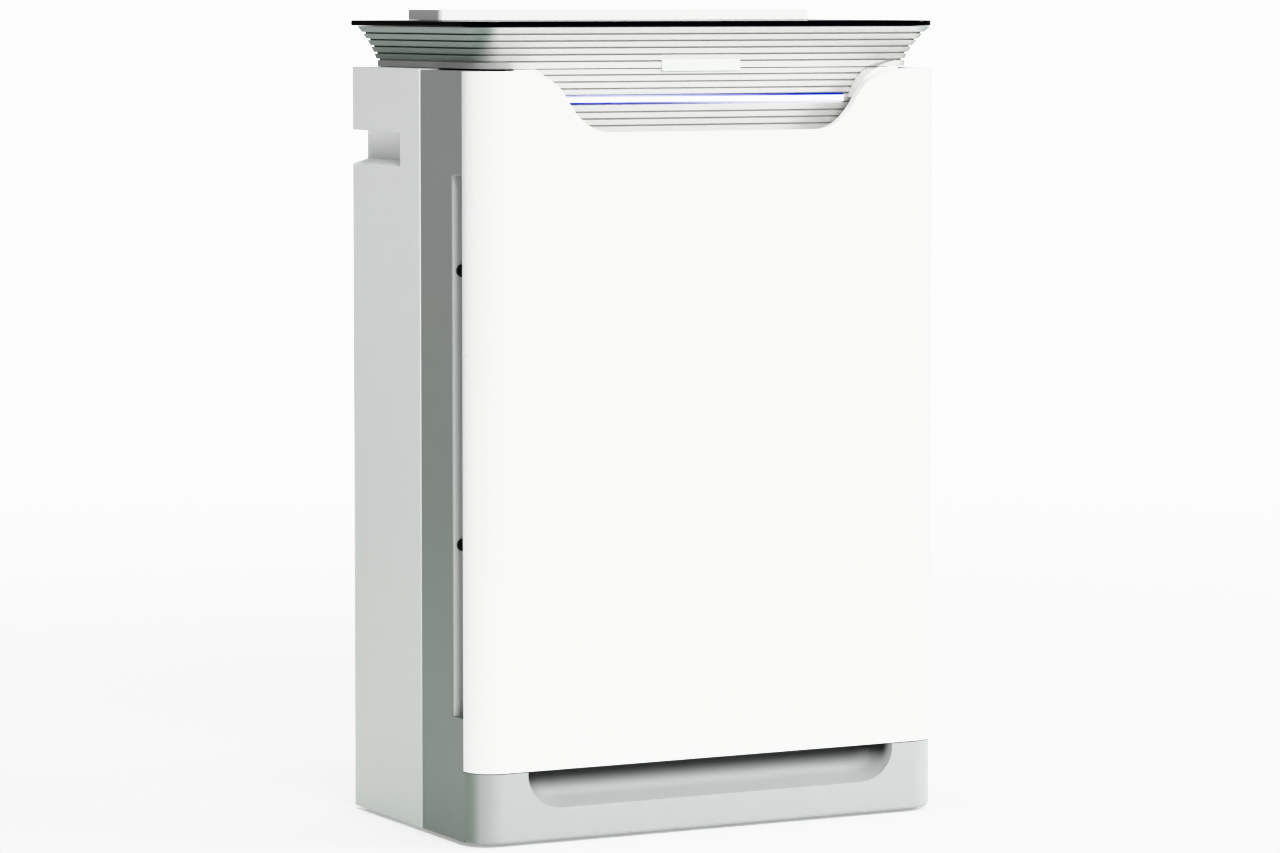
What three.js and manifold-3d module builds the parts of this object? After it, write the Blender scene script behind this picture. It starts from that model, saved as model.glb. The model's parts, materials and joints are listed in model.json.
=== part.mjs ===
// A floor-standing air purifier: rounded cabinet, pull-off front panel, filter bay, centrifugal fan and
// flared head. Millimetres, +X to the right, +Y to the back, +Z up.
// The origin is on the floor, under the middle of the object's box.
import * as THREE from "three";
import { mergeVertices } from "three/addons/utils/BufferGeometryUtils.js";
import Module from "manifold-3d";

const wasm = await Module();
wasm.setup();

// ---------------------------------------------------------------- driving dimensions
const clearance = 0.3; // gap between pieces that touch
const wall = 2.6; // moulded shells

// cabinet
const bodyWidth = 418;
const bodyDepth = 232;
const bodyTop = 604; // top of the shoulder above the floor
const frontRadius = 24;
const backRadius = 5;
const glassOverhang = 2; // the glass stands out behind the cabinet by this
const panelInset = 0.3; // the panel and the middle frame are this much narrower on each side
const frameInset = 0.6;
const frontDrop = 1; // the panel and the middle frame end this much below the shoulder
const footHeight = 3;
const baseTop = 58;
const baseChamfer = 3;
const baseInset = 0.4; // behind the panel
const panelDepth = 24;

// front panel
const notchDepth = 48;
const notchTopInset = 32; // the notch starts this far in from the side
const notchWaistInset = 81; // and is this far in half way down
const notchFloorInset = 117; // and this far in at its flat floor
const rimDepth = 8; // the turned-back rim along the panel's top and notch
const seamGap = 0.6; // between the panel and the base

// scoop under the panel
const scoopInset = 43; // in from the side
const scoopBottom = 24.6;
const scoopCorner = 30;
const scoopDepth = 21;

// side air slots
const slotDepth = 19.5;
const slotBottom = 100;
const slotDrop = 81.5; // slot's top below the shoulder
const bumperRadius = 5;
const bumperThickness = 2;
const bumperInset = 8.5; // bumper centre, in from the side
const bumperLow = 134; // lower buffer above the slot's foot
const bumperHigh = 74.5; // upper buffer below the slot's top

// handle pockets
const pocketSetback = 37; // behind the seam
const pocketDrop = 51; // below the shoulder
const pocketHeight = 23;
const pocketDepth = 15;
const pocketLip = 4.5; // the pocket's floor falls by this towards its mouth

// filter bay and filters
const bayInset = 33; // in from the side
const bayBottom = 88;
const bayDrop = 66; // below the shoulder
const filterMargin = 2;
const prefilterDepth = 7;
const hepaDepth = 30;
const carbonDepth = 12;
const filterGap = 1.6;
const prefilterBorder = 14;
const hepaBorder = 4;
const pleatPitch = 12;
const meshThickness = 0.8;
const pleatThickness = 2.4;
const tabHalf = 11;
const tabThickness = 0.8;
const tabLength = 50;
const grilleThickness = 1.7;
const grilleRail = 8;
const grilleSetback = 1.6; // the bay grille's back, in front of the seam

// head
const neckInset = 16;
const neckBackInset = 8;
const neckRadius = 18;
const ribPitch = 5.36;
const ribCount = 5; // ribs on the flare
const ribGroove = 1;
const glassThickness = 4.4;
const glassFrontInset = 1.5;
const glassSideInset = 0.5;
const glassBackRadius = 3;
const flarePower = 1.6;
const bandHeight = 5.8; // smooth band between the shoulder and the lowest rib
const bandRadius = 35; // front corners of the smooth band
const rimGap = 0.5; // behind the panel's rim
const fasciaInset = 37.5; // in from the side
const fasciaBelowNotch = 9.7;
const fasciaDepth = 9.4;
const grooveHeight = 0.8;
const widerRib = 6.6; // the rib under the light bar

// light bar and display window
const lightEndGap = 4; // in from the notch's waist
const lightDrop = 27.4; // below the shoulder
const lightHeight = 6.4;
const windowHalf = 35;
const windowDrop = 2; // below the shoulder
const windowHeight = 13.5;
const windowDepth = 5; // in front of the fascia

// outlet
const outletInset = 40; // in from the side
const outletBackInset = 22; // in from the back
const outletLength = 62;
const outletRise = 8.6; // above the glass
const outletBorder = 7;
const slatCount = 7;
const slatThickness = 1.6;
const grilleColumns = 4;
const grilleHeight = 5;
const spigotDepth = 3; // the outlet frame reaches this far below the glass

// fan
const fanDrop = 208; // its axis below the bay's top
const scrollInset = 43; // the scroll's widest point, in from the side
const scrollSpread = 39; // how much further out the scroll ends than it starts
const tongueGap = 9; // between the wheel and the scroll's start
const wheelSetback = 52; // behind the seam
const motorSpace = 30; // behind the wheel
const wheelGap = 3; // behind the wheel, inside the scroll
const inletGap = 4; // in front of it
const bladeCount = 24;
const bladeThickness = 1.6;
const bladeDepth = 24;
const bladeBow = 0.16; // how far round a blade leans, in radians
const inletLap = 4; // the inlet is wider than the blades' inner edge by this
const shaftRadius = 4;
const hubRadius = 16;
const hubDepth = 26;
const tongueAngle = (75 * Math.PI) / 180;
const scrollRise = 2; // above the bay's top
const scrollWall = 2.4;
const motorRadius = 48;
const guardHub = 26; // radius of the guard's smallest ring
const guardRings = 5;

// pins, switch and underside
const pinRadius = 3.5;
const pinReach = 12;
const pegRadius = 4;
const clipDrop = 14; // below the panel's top
const pegRise = 18; // above the base
const switchHalf = 7;
const switchLength = 16;
const switchRise = 16; // above the fascia's foot
const plungerRadius = 2.4;
const plungerReach = 6; // in front of the panel's back
const plateRecess = 3.2; // the base plate's top above the cabinet's foot
const footRadius = 11.5;
const footInset = 24;

// back of the cabinet
const glandInset = 59; // in from the side
const glandZ = 42;
const glandRadius = 8;
const boreRadius = 3.6; // for the mains cord
const screwInset = 26;
const screwLow = 34;
const screwDrop = 92; // upper screw below the shoulder
const ventZ = 140;
const ventSlots = 5;
const ventPitch = 8;
const ventHeight = 3;
const ventLength = 30;
const ventInset = 40; // in from the back

// lamp
const lampDrop = 38; // below the bay's top
const lampSetback = 15; // behind the seam
const lampInset = 46; // in from the bay's side
const lampRadius = 6;
const socketHalf = 8;
const socketSize = 11;

// ---------------------------------------------------------------- places worked out from them
const front = -(bodyDepth + glassOverhang) / 2;
const back = front + bodyDepth;
const halfBody = bodyWidth / 2;
const halfPanel = halfBody - panelInset;
const halfFrame = halfBody - frameInset;
const panelBack = front + panelDepth;
const frontTop = bodyTop - frontDrop;
const panelBottom = baseTop + seamGap;
const bodyBottom = footHeight;
const ledge = panelBack + slotDepth;
const slotTop = bodyTop - slotDrop;
const bumperHeights = [slotBottom + bumperLow, slotTop - bumperHigh];
const scoopHalf = halfBody - scoopInset;
const pocketTop = bodyTop - pocketDrop;
const pocketBottom = pocketTop - pocketHeight;
const bayHalf = halfBody - bayInset;
const bayTop = bodyTop - bayDrop;
const notchTopHalf = halfBody - notchTopInset;
const notchWaistHalf = halfBody - notchWaistInset;
const notchFloorHalf = halfBody - notchFloorInset;
const notchBottom = frontTop - notchDepth;
const neckBase = bodyTop + clearance;
const bandTop = bodyTop + bandHeight;
const bandFront = front + rimDepth + rimGap;
const neckHalf = halfBody - neckInset;
const fasciaHalf = halfBody - fasciaInset;
const fasciaBottom = notchBottom - fasciaBelowNotch;
const lightHalf = notchWaistHalf - lightEndGap;
const lightBottom = bodyTop - lightDrop;
const lightTop = lightBottom + lightHeight;
const windowBottom = bodyTop - windowDrop;
const windowTop = windowBottom + windowHeight;
const glassUnder = bandTop + ribCount * ribPitch;
const glassTop = glassUnder + clearance + glassThickness;
const fascia = panelBack + clearance;
const neckBack = back - neckBackInset;
const outletHalf = halfBody - outletInset;
const outletY1 = back - outletBackInset;
const outletY0 = outletY1 - outletLength;
const prefilterY = ledge + clearance;
const hepaY = prefilterY + prefilterDepth + filterGap;
const carbonY = hepaY + hepaDepth + clearance;
const grilleY = carbonY + carbonDepth + filterMargin;
const seam = grilleY + grilleThickness + grilleSetback;
const filterHalf = bayHalf - filterMargin;
const filterBottom = bayBottom + filterMargin;
const filterTop = bayTop - filterMargin;
const wheelFront = seam + wheelSetback;
const wheelBack = back - motorSpace;
const scrollFront = wheelFront - scrollWall - inletGap;
const scrollBack = wheelBack + scrollWall + wheelGap;
const fanHeight = bayTop - fanDrop;
const scrollEnd = halfBody - scrollInset;
const scrollStart = scrollEnd - scrollSpread;
const scrollTop = bayTop + scrollRise;
const wheelRadius = scrollStart - tongueGap;
const bladeInner = wheelRadius - bladeDepth;
const inletRadius = bladeInner + inletLap;
const pinX = halfBody - frontRadius - pinRadius - 2;
const clipZ = frontTop - clipDrop;
const pegZ = baseTop + pegRise;
const switchX = halfBody - frontRadius - pegRadius;
const switchZ = fasciaBottom + switchRise;
const plungerTip = panelBack - plungerReach;
const plateTop = bodyBottom + plateRecess;
const glandX = glandInset - halfBody;
const screwX = halfBody - screwInset;
const screwHeights = [screwLow, fanHeight - screwLow, bodyTop - screwDrop];
const ventBack = back - ventInset;
const ventFront = ventBack - ventLength;
const lampZ = bayTop - lampDrop;
const lampY = seam + lampSetback;
const lampHalf = bayHalf - lampInset;

// ---------------------------------------------------------------- finishes
const finish = {
  white: { color: 0xf4f4f3, roughness: 0.3, metalness: 0 },
  pale: { color: 0xd6d8d7, roughness: 0.42, metalness: 0 },
  grey: { color: 0x8b9191, roughness: 0.42, metalness: 0 },
  ribbed: { color: 0xdfe0dc, roughness: 0.3, metalness: 0.1 },
  glass: { color: 0x050506, roughness: 0.06, metalness: 0 },
  light: { color: 0xf8faff, roughness: 0.3, metalness: 0 },
  label: { color: 0xeeeeea, roughness: 0.35, metalness: 0 },
  black: { color: 0x141414, roughness: 0.7, metalness: 0 },
  steel: { color: 0xb9bcc0, roughness: 0.35, metalness: 1 },
  paper: { color: 0xf1f1ea, roughness: 0.9, metalness: 0 },
  carbon: { color: 0x232323, roughness: 0.95, metalness: 0 },
  board: { color: 0x1f6b3a, roughness: 0.5, metalness: 0 },
  inner: { color: 0xc9cccb, roughness: 0.5, metalness: 0 },
  lamp: { color: 0xe6ecff, roughness: 0.1, metalness: 0 },
  fabric: { color: 0x3a4a5a, roughness: 0.9, metalness: 0 },
};

// ---------------------------------------------------------------- solids
const quarter = Math.PI / 2;

// A closed geometry as a solid for joining and cutting.
function solid(geometry) {
  const bare = geometry.index ? geometry.toNonIndexed() : geometry.clone();
  bare.deleteAttribute("normal");
  bare.deleteAttribute("uv");
  const merged = mergeVertices(bare, 1e-4);
  return new wasm.Manifold(
    new wasm.Mesh({
      numProp: 3,
      vertProperties: merged.attributes.position.array,
      triVerts: new Uint32Array(merged.index.array),
    }),
  );
}

// A solid back as a geometry that three.js draws.
function geometryOf(made) {
  const mesh = made.getMesh();
  const geometry = new THREE.BufferGeometry();
  geometry.setAttribute("position", new THREE.BufferAttribute(mesh.vertProperties, 3));
  geometry.setIndex(new THREE.BufferAttribute(mesh.triVerts, 1));
  const flat = geometry.toNonIndexed();
  flat.computeVertexNormals();
  return flat;
}

const join = (first, ...others) => others.reduce((sum, other) => sum.add(other), first);
const cut = (first, ...others) => others.reduce((rest, other) => rest.subtract(other), first);

// A box between two values on each axis.
function box(x0, x1, y0, y1, z0, z1) {
  const geometry = new THREE.BoxGeometry(x1 - x0, y1 - y0, z1 - z0);
  geometry.translate((x0 + x1) / 2, (y0 + y1) / 2, (z0 + z1) / 2);
  return solid(geometry);
}

// A box that is the same on both sides of the middle.
const middleBox = (half, y0, y1, z0, z1) => box(-half, half, y0, y1, z0, z1);

// A disc or rod along Y, with its middle at x, z.
function rodY(radius, x, z, y0, y1, sides = 24) {
  const geometry = new THREE.CylinderGeometry(radius, radius, y1 - y0, sides);
  geometry.translate(x, (y0 + y1) / 2, z);
  return solid(geometry);
}

// A plan outline swept up from z0 to z1.
function prismZ(shape, z0, z1) {
  const geometry = new THREE.ExtrudeGeometry(shape, { depth: z1 - z0, bevelEnabled: false });
  geometry.translate(0, 0, z0);
  return solid(geometry);
}

// A front-view outline (x, z) swept back from y0 to y1.
function prismY(shape, y0, y1) {
  const options = { depth: y1 - y0, bevelEnabled: false, curveSegments: 6 };
  const geometry = new THREE.ExtrudeGeometry(shape, options);
  geometry.rotateX(quarter);
  geometry.translate(0, y1, 0);
  return solid(geometry);
}

// A side-view outline (y, z) swept across from x0 to x1.
function prismX(shape, x0, x1) {
  const options = { depth: x1 - x0, bevelEnabled: false, curveSegments: 8 };
  const geometry = new THREE.ExtrudeGeometry(shape, options);
  const [x, y, z] = [[1, 0, 0], [0, 1, 0], [0, 0, 1]].map((v) => new THREE.Vector3(...v));
  geometry.applyMatrix4(new THREE.Matrix4().makeBasis(y, z, x));
  geometry.translate(x0, 0, 0);
  return solid(geometry);
}

// The points of a plan that is the same left and right, with its own front and back corner radius.
function planPoints(half, y0, y1, frontCorner, backCorner, steps = 8) {
  const corners = [
    [-half + frontCorner, y0 + frontCorner, frontCorner, Math.PI],
    [half - frontCorner, y0 + frontCorner, frontCorner, 3 * quarter],
    [half - backCorner, y1 - backCorner, backCorner, 0],
    [-half + backCorner, y1 - backCorner, backCorner, quarter],
  ];
  return corners.flatMap(([x, y, radius, from]) => {
    const count = radius > 0 ? steps : 0;
    return Array.from({ length: count + 1 }, (_, i) => {
      const angle = from + (count ? i / count : 0) * quarter;
      return new THREE.Vector2(x + radius * Math.cos(angle), y + radius * Math.sin(angle));
    });
  });
}

const plan = (...sizes) => new THREE.Shape(planPoints(...sizes));

// A solid through plan outlines of equal length, each at its own height.
function loft(levels) {
  const count = levels[0].points.length;
  const positions = levels.flatMap(({ z, points }) => points.flatMap((p) => [p.x, p.y, z]));
  const index = [];
  for (let level = 0; level + 1 < levels.length; level += 1) {
    for (let i = 0; i < count; i += 1) {
      const [a, b] = [level * count + i, level * count + ((i + 1) % count)];
      index.push(a, b, b + count, a, b + count, a + count);
    }
  }
  const top = (levels.length - 1) * count;
  for (const [a, b, c] of THREE.ShapeUtils.triangulateShape(levels.at(-1).points, [])) {
    index.push(a + top, b + top, c + top);
  }
  for (const [a, b, c] of THREE.ShapeUtils.triangulateShape(levels[0].points, [])) {
    index.push(c, b, a);
  }
  const geometry = new THREE.BufferGeometry();
  geometry.setAttribute("position", new THREE.Float32BufferAttribute(positions, 3));
  geometry.setIndex(index);
  return solid(geometry);
}

// A rectangle in the front view.
function frontRectangle(x0, x1, z0, z1) {
  const corners = [[x0, z0], [x1, z0], [x1, z1], [x0, z1]];
  return new THREE.Shape(corners.map(([x, z]) => new THREE.Vector2(x, z)));
}

// A flat frame: a rectangle with a rectangular hole, standing in the front view.
function frame(half, y0, y1, z0, z1, border) {
  const outer = middleBox(half, y0, y1, z0, z1);
  return cut(outer, middleBox(half - border, y0 - 1, y1 + 1, z0 + border, z1 - border));
}

// ---------------------------------------------------------------- front panel
// The notch in the panel's top edge: half of it is an S-curve, mirrored about the middle.
function notchShape(grow, top) {
  const waistZ = (frontTop + notchBottom) / 2 + grow * 0.4;
  const floorZ = notchBottom - grow;
  const [topX, waistX, floorX] = [notchTopHalf + grow, notchWaistHalf + grow, notchFloorHalf + grow / 2];
  const [topPull, floorPull] = [26, 16]; // how far the curve runs level at its top and floor
  const [waistUp, waistDown] = [[9, 16], [7, 13]]; // and how it leaves the waist
  const shape = new THREE.Shape();
  shape.moveTo(-topX, top);
  shape.lineTo(-topX, frontTop);
  shape.bezierCurveTo(
    -topX + topPull, frontTop, -waistX - waistUp[0], waistZ + waistUp[1], -waistX, waistZ,
  );
  shape.bezierCurveTo(
    -waistX + waistDown[0], waistZ - waistDown[1], -floorX - floorPull, floorZ, -floorX, floorZ,
  );
  shape.lineTo(floorX, floorZ);
  shape.bezierCurveTo(
    floorX + floorPull, floorZ, waistX - waistDown[0], waistZ - waistDown[1], waistX, waistZ,
  );
  shape.bezierCurveTo(
    waistX + waistUp[0], waistZ + waistUp[1], topX - topPull, frontTop, topX, frontTop,
  );
  shape.lineTo(topX, top);
  return shape;
}

function frontPanel() {
  const beyond = 5;
  const outer = prismZ(plan(halfPanel, front, panelBack, frontRadius, 0), panelBottom, frontTop);
  const notch = prismY(notchShape(0, frontTop + beyond), front - beyond, panelBack + beyond);
  const grown = prismY(notchShape(wall, frontTop + beyond), front - beyond, front + rimDepth);
  const inner = plan(halfPanel - wall, front + wall, panelBack + beyond, frontRadius - wall, 0);
  const hollow = prismZ(inner, panelBottom + wall, frontTop - wall);
  const rim = join(
    grown,
    middleBox(halfBody, front, front + rimDepth, frontTop - wall, frontTop + beyond),
  );
  const behindRim = prismZ(inner, panelBottom + wall, frontTop + beyond).intersect(
    middleBox(halfBody, front + rimDepth, panelBack + beyond, bodyBottom, bodyTop + beyond),
  );
  return cut(outer, notch, cut(hollow, rim), behindRim);
}

// Snap pins on the panel's back, and the sockets they push into.
function panelPin(side, z) {
  const x = side * pinX;
  const post = rodY(pinRadius, x, z, front + wall + clearance, panelBack + pinReach, 16);
  const bead = rodY(pinRadius + 0.6, x, z, panelBack + pinReach - 4, panelBack + pinReach - 2, 16);
  return join(post, bead);
}

const pinSocket = (side, z) =>
  rodY(pinRadius + 1.2, side * pinX, z, panelBack - 1, panelBack + pinReach + 2, 16);

// ---------------------------------------------------------------- middle frame with the base
// The scoop is an opening in front of a surface that runs back and up.
function scoopCut() {
  const beyond = 6;
  const outline = new THREE.Shape();
  outline.moveTo(-scoopHalf, baseTop + beyond);
  outline.lineTo(-scoopHalf, scoopBottom + scoopCorner);
  outline.quadraticCurveTo(-scoopHalf, scoopBottom, -scoopHalf + scoopCorner, scoopBottom);
  outline.lineTo(scoopHalf - scoopCorner, scoopBottom);
  outline.quadraticCurveTo(scoopHalf, scoopBottom, scoopHalf, scoopBottom + scoopCorner);
  outline.lineTo(scoopHalf, baseTop + beyond);
  const profile = new THREE.Shape();
  profile.moveTo(front - beyond, scoopBottom - 1);
  profile.lineTo(front, scoopBottom);
  profile.quadraticCurveTo(
    front + scoopDepth * 0.75, scoopBottom + 4, front + scoopDepth, baseTop,
  );
  profile.lineTo(front + scoopDepth, baseTop + beyond);
  profile.lineTo(front - beyond, baseTop + beyond);
  return prismY(outline, front - beyond, front + scoopDepth + 1).intersect(
    prismX(profile, -halfBody, halfBody),
  );
}

function middleFrame() {
  const y0 = panelBack + clearance;
  const y1 = seam - clearance;
  const beyond = 5;
  const toePlan = (inset) =>
    planPoints(halfFrame - inset, front + inset + baseInset, y0 + frontRadius / 2, frontRadius, 0);
  const toe = loft([
    { z: bodyBottom, points: toePlan(baseChamfer) },
    { z: bodyBottom + 2, points: toePlan(0.6) },
    { z: bodyBottom + 4, points: toePlan(0) },
    { z: baseTop, points: toePlan(0) },
  ]);
  const block = middleBox(halfFrame, y0, y1, bodyBottom, frontTop);
  const slots = [-1, 1].map((side) => {
    const [x0, x1] = [side * (bayHalf - 1), side * (halfFrame + beyond)].sort((a, b) => a - b);
    return box(x0, x1, y0 - beyond, ledge, slotBottom, slotTop);
  });
  const bay = middleBox(bayHalf, y0 - beyond, y1 + beyond, bayBottom, bayTop);
  const sides = [-1, 1].map((side) => {
    const [x0, x1] = [side * (bayHalf + wall), side * (halfFrame - wall)].sort((a, b) => a - b);
    return box(x0, x1, ledge + wall, y1 + beyond, bodyBottom + wall * 2, frontTop - wall);
  });
  const under = middleBox(bayHalf + wall, ledge + wall, y1 + beyond, -beyond, bayBottom - wall);
  const over = middleBox(bayHalf + wall, ledge + wall, y1 + beyond, bayTop + wall, frontTop - wall);
  const neckHole = middleBox(bayHalf, ledge + wall, y1 + beyond, bayTop + wall, frontTop + beyond);
  const fasciaSeat = middleBox(
    fasciaHalf + clearance, y0 - beyond, fascia + fasciaDepth + clearance,
    fasciaBottom - clearance, frontTop + beyond,
  );
  const lightBoardSeat = middleBox(
    lightHalf, fascia + fasciaDepth, ledge + wall + 1, lightBottom - 5, lightTop + 5,
  );
  const switchPocket = box(
    switchX - switchHalf - clearance, switchX + switchHalf + clearance, y0 - beyond,
    panelBack + switchLength + clearance, switchZ - switchHalf - clearance,
    switchZ + switchHalf + clearance,
  );
  const plateSeat = middleBox(
    halfFrame - wall, panelBack + 2, y1 + beyond, -beyond, plateTop + clearance,
  );
  return cut(
    join(block, toe), scoopCut(), ...slots, bay, ...sides, under, over, neckHole, fasciaSeat,
    pinSocket(-1, clipZ), pinSocket(1, clipZ), pinSocket(-1, pegZ), pinSocket(1, pegZ),
    switchPocket, plateSeat, lightBoardSeat,
  );
}

// Round rubber buffers on the ledge inside each slot.
const bumper = (side, z) =>
  rodY(bumperRadius, side * (halfFrame - bumperInset), z, ledge - clearance - bumperThickness,
    ledge - clearance, 20);

// ---------------------------------------------------------------- rear shell
function pocketBlock(side, grow) {
  const beyond = grow ? 0 : 6;
  const outside = side * (halfBody + beyond);
  const inside = side * (halfBody - pocketDepth - grow);
  const slope = new THREE.Shape(
    [
      [outside, pocketTop + grow],
      [inside, pocketTop + grow],
      [inside, pocketBottom - grow],
      [side * halfBody, pocketBottom - pocketLip - grow],
      [outside, pocketBottom - pocketLip - grow],
    ].map(([x, z]) => new THREE.Vector2(x, z)),
  );
  return prismY(slope, seam + pocketSetback - grow, back + beyond);
}

function rearShell() {
  const beyond = 5;
  const y0 = seam;
  const outer = prismZ(plan(halfBody, y0, back, 0, backRadius), bodyBottom, bodyTop);
  const hollow = middleBox(
    halfBody - wall, y0 - beyond, back - wall, bodyBottom + wall, bodyTop - wall,
  );
  const neckHole = middleBox(
    bayHalf, y0 - beyond, neckBack - 12, bodyTop - wall - beyond, bodyTop + beyond,
  );
  const plateSeat = middleBox(
    halfFrame - wall, y0 - beyond, back - 12, -beyond, plateTop + clearance,
  );
  const vents = Array.from({ length: ventSlots }, (_, i) =>
    box(
      halfBody - 2 * wall, halfBody + beyond, ventFront, ventBack, ventZ + i * ventPitch,
      ventZ + i * ventPitch + ventHeight,
    ),
  );
  const screwHoles = [-1, 1].flatMap((side) =>
    screwHeights.map((z) => rodY(4.6, side * screwX, z, back - 8, back + beyond, 12)),
  );
  const pockets = [-1, 1].map((side) => pocketBlock(side, wall));
  const pocketCuts = [-1, 1].map((side) => pocketBlock(side, 0));
  const shell = cut(outer, cut(hollow, ...pockets));
  const glandHole = rodY(glandRadius + clearance, glandX, glandZ, back - 8, back + beyond, 20);
  return cut(shell, ...pocketCuts, neckHole, plateSeat, ...vents, ...screwHoles, glandHole);
}

// A pan-head screw from behind: the head sits in the shell's hole.
function rearScrew(side, z) {
  const x = side * screwX;
  const head = rodY(4.2, x, z, back - wall - 1.2, back - 0.6, 12);
  return join(head, rodY(2, x, z, back - 22, back - wall - 1, 6));
}

function cordGland() {
  const barrel = rodY(glandRadius, glandX, glandZ, back - glandRadius, back + 0.5, 20);
  const flange = rodY(glandRadius + 3, glandX, glandZ, back + clearance, back + glassOverhang, 20);
  return cut(join(barrel, flange), rodY(boreRadius, glandX, glandZ, back - 9, back + 6, 16));
}

// ---------------------------------------------------------------- head
// How far the flare has opened at a height: 0 at the shoulder, 1 under the glass.
const flare = (z) => Math.max(0, (z - bodyTop) / (glassUnder - bodyTop)) ** flarePower;

const mix = (a, b, t) => a + (b - a) * t;

// The front of the neck at a height.
const headFront = (z) => mix(fascia, front + glassFrontInset + 1, flare(z));

function headOutline(z, inset) {
  const t = flare(z);
  const half = mix(neckHalf, halfBody - glassSideInset - 1, t) - inset;
  const y0 = headFront(z) + inset;
  const y1 = mix(neckBack, back + glassOverhang - 1, t) - inset;
  const frontCorner = mix(neckRadius, frontRadius - 1, t) - inset;
  const backCorner = mix(neckRadius * 0.7, glassBackRadius + 2, t) - inset * 0.5;
  return { z, points: planPoints(half, y0, y1, frontCorner, backCorner, 6) };
}

// The S-shaped opening that frames the fascia, seen from the front.
function fasciaOpening() {
  const waist = notchWaistHalf + 6;
  const shoulderX = fasciaHalf - wall;
  const bend = lightTop - 3;
  const [pull, lift] = [22, 14]; // how far the curve runs level at its top, and up from its waist
  const shape = new THREE.Shape();
  shape.moveTo(-shoulderX, bandTop + 3);
  shape.lineTo(-shoulderX, bandTop - 1);
  shape.bezierCurveTo(-shoulderX + pull, bandTop - 3, -waist - 4, bend + lift, -waist, bend);
  shape.lineTo(-waist, fasciaBottom + wall);
  shape.lineTo(waist, fasciaBottom + wall);
  shape.lineTo(waist, bend);
  shape.bezierCurveTo(waist + 4, bend + lift, shoulderX - pull, bandTop - 3, shoulderX, bandTop - 1);
  shape.lineTo(shoulderX, bandTop + 3);
  return shape;
}

function collar() {
  const levels = [headOutline(neckBase, 0), headOutline(bandTop - grooveHeight, 0)];
  for (let rib = 0; rib < ribCount; rib += 1) {
    const z = bandTop + rib * ribPitch;
    levels.push(headOutline(z, ribGroove));
    levels.push(headOutline(z + grooveHeight, 0));
    levels.push(headOutline(z + ribPitch - grooveHeight, 0));
  }
  levels.push(headOutline(glassUnder, 0));
  const bandPlan = plan(neckHalf, bandFront, neckBack, bandRadius, neckRadius * 0.7);
  const opening = prismY(fasciaOpening(), bandFront - 1, fascia);
  const band = cut(prismZ(bandPlan, neckBase, bandTop - grooveHeight), opening);
  const steps = [0, 2, 4].map((rib) => bandTop + rib * ribPitch);
  const inner = [neckBase - 1, ...steps, glassUnder + 1];
  const hollow = loft(inner.map((z) => headOutline(z, wall + ribGroove)));
  const apron = middleBox(fasciaHalf, fascia, fascia + fasciaDepth, fasciaBottom, neckBase + 4);
  const apronBack = middleBox(
    fasciaHalf - wall, fascia + wall + 2, fascia + fasciaDepth + 1, fasciaBottom + wall,
    frontTop - wall,
  );
  const above = [1, 2, 3, 4].map((step) => bandTop - step * ribPitch);
  const below = [0, 1, 2, 3, 4].map((step) => lightBottom - widerRib - step * ribPitch);
  const grooves = [...above, ...below].map((z) =>
    middleBox(
      fasciaHalf + 1, fascia - 1, fascia + ribGroove, z - grooveHeight / 2, z + grooveHeight / 2,
    ),
  );
  const lightSeat = middleBox(
    lightHalf + clearance, fascia - 1, fascia + fasciaDepth + 1, lightBottom - clearance,
    lightTop + clearance,
  );
  const windowSeat = middleBox(
    windowHalf + clearance, front, fascia + 1.2, windowBottom - clearance,
    windowTop + clearance,
  );
  const wallRing = cut(join(loft(levels), band), hollow);
  return cut(join(wallRing, cut(apron, apronBack)), ...grooves, lightSeat, windowSeat);
}

// The smooth rim in front of the fascia, under the head's band.
function fasciaSurround() {
  const outline = frontRectangle(-fasciaHalf, fasciaHalf, fasciaBottom, bodyTop);
  const outer = prismY(outline, bandFront, fascia - clearance);
  return cut(outer, prismY(fasciaOpening(), bandFront - 1, fascia + 1));
}

const lightBar = () =>
  middleBox(lightHalf, fascia - 0.6, fascia + fasciaDepth - 1, lightBottom, lightTop);

const displayWindow = () =>
  middleBox(windowHalf, fascia - windowDepth, fascia + 0.9, windowBottom, windowTop);

function topGlass() {
  const outline = plan(
    halfBody - glassSideInset, front + glassFrontInset, back + glassOverhang, frontRadius,
    glassBackRadius,
  );
  const opening = middleBox(
    outletHalf - outletBorder + clearance, outletY0 + outletBorder - clearance,
    outletY1 - outletBorder + clearance, glassUnder - 1, glassTop + 1,
  );
  return cut(prismZ(outline, glassUnder + clearance, glassTop), opening);
}

// The raised frame round the outlet, with a spigot down through the glass.
function outletFrame() {
  const z0 = glassTop + clearance;
  const z1 = glassTop + outletRise;
  const rim = prismZ(plan(outletHalf, outletY0, outletY1, 4, 4), z0, z1);
  const spigot = middleBox(
    outletHalf - outletBorder, outletY0 + outletBorder, outletY1 - outletBorder,
    glassUnder - spigotDepth, z0 + 1,
  );
  const mouth = middleBox(
    outletHalf - outletBorder - wall, outletY0 + outletBorder + wall,
    outletY1 - outletBorder - wall, glassUnder - spigotDepth - 1, z1 + 1,
  );
  return cut(join(rim, spigot), mouth);
}

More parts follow.
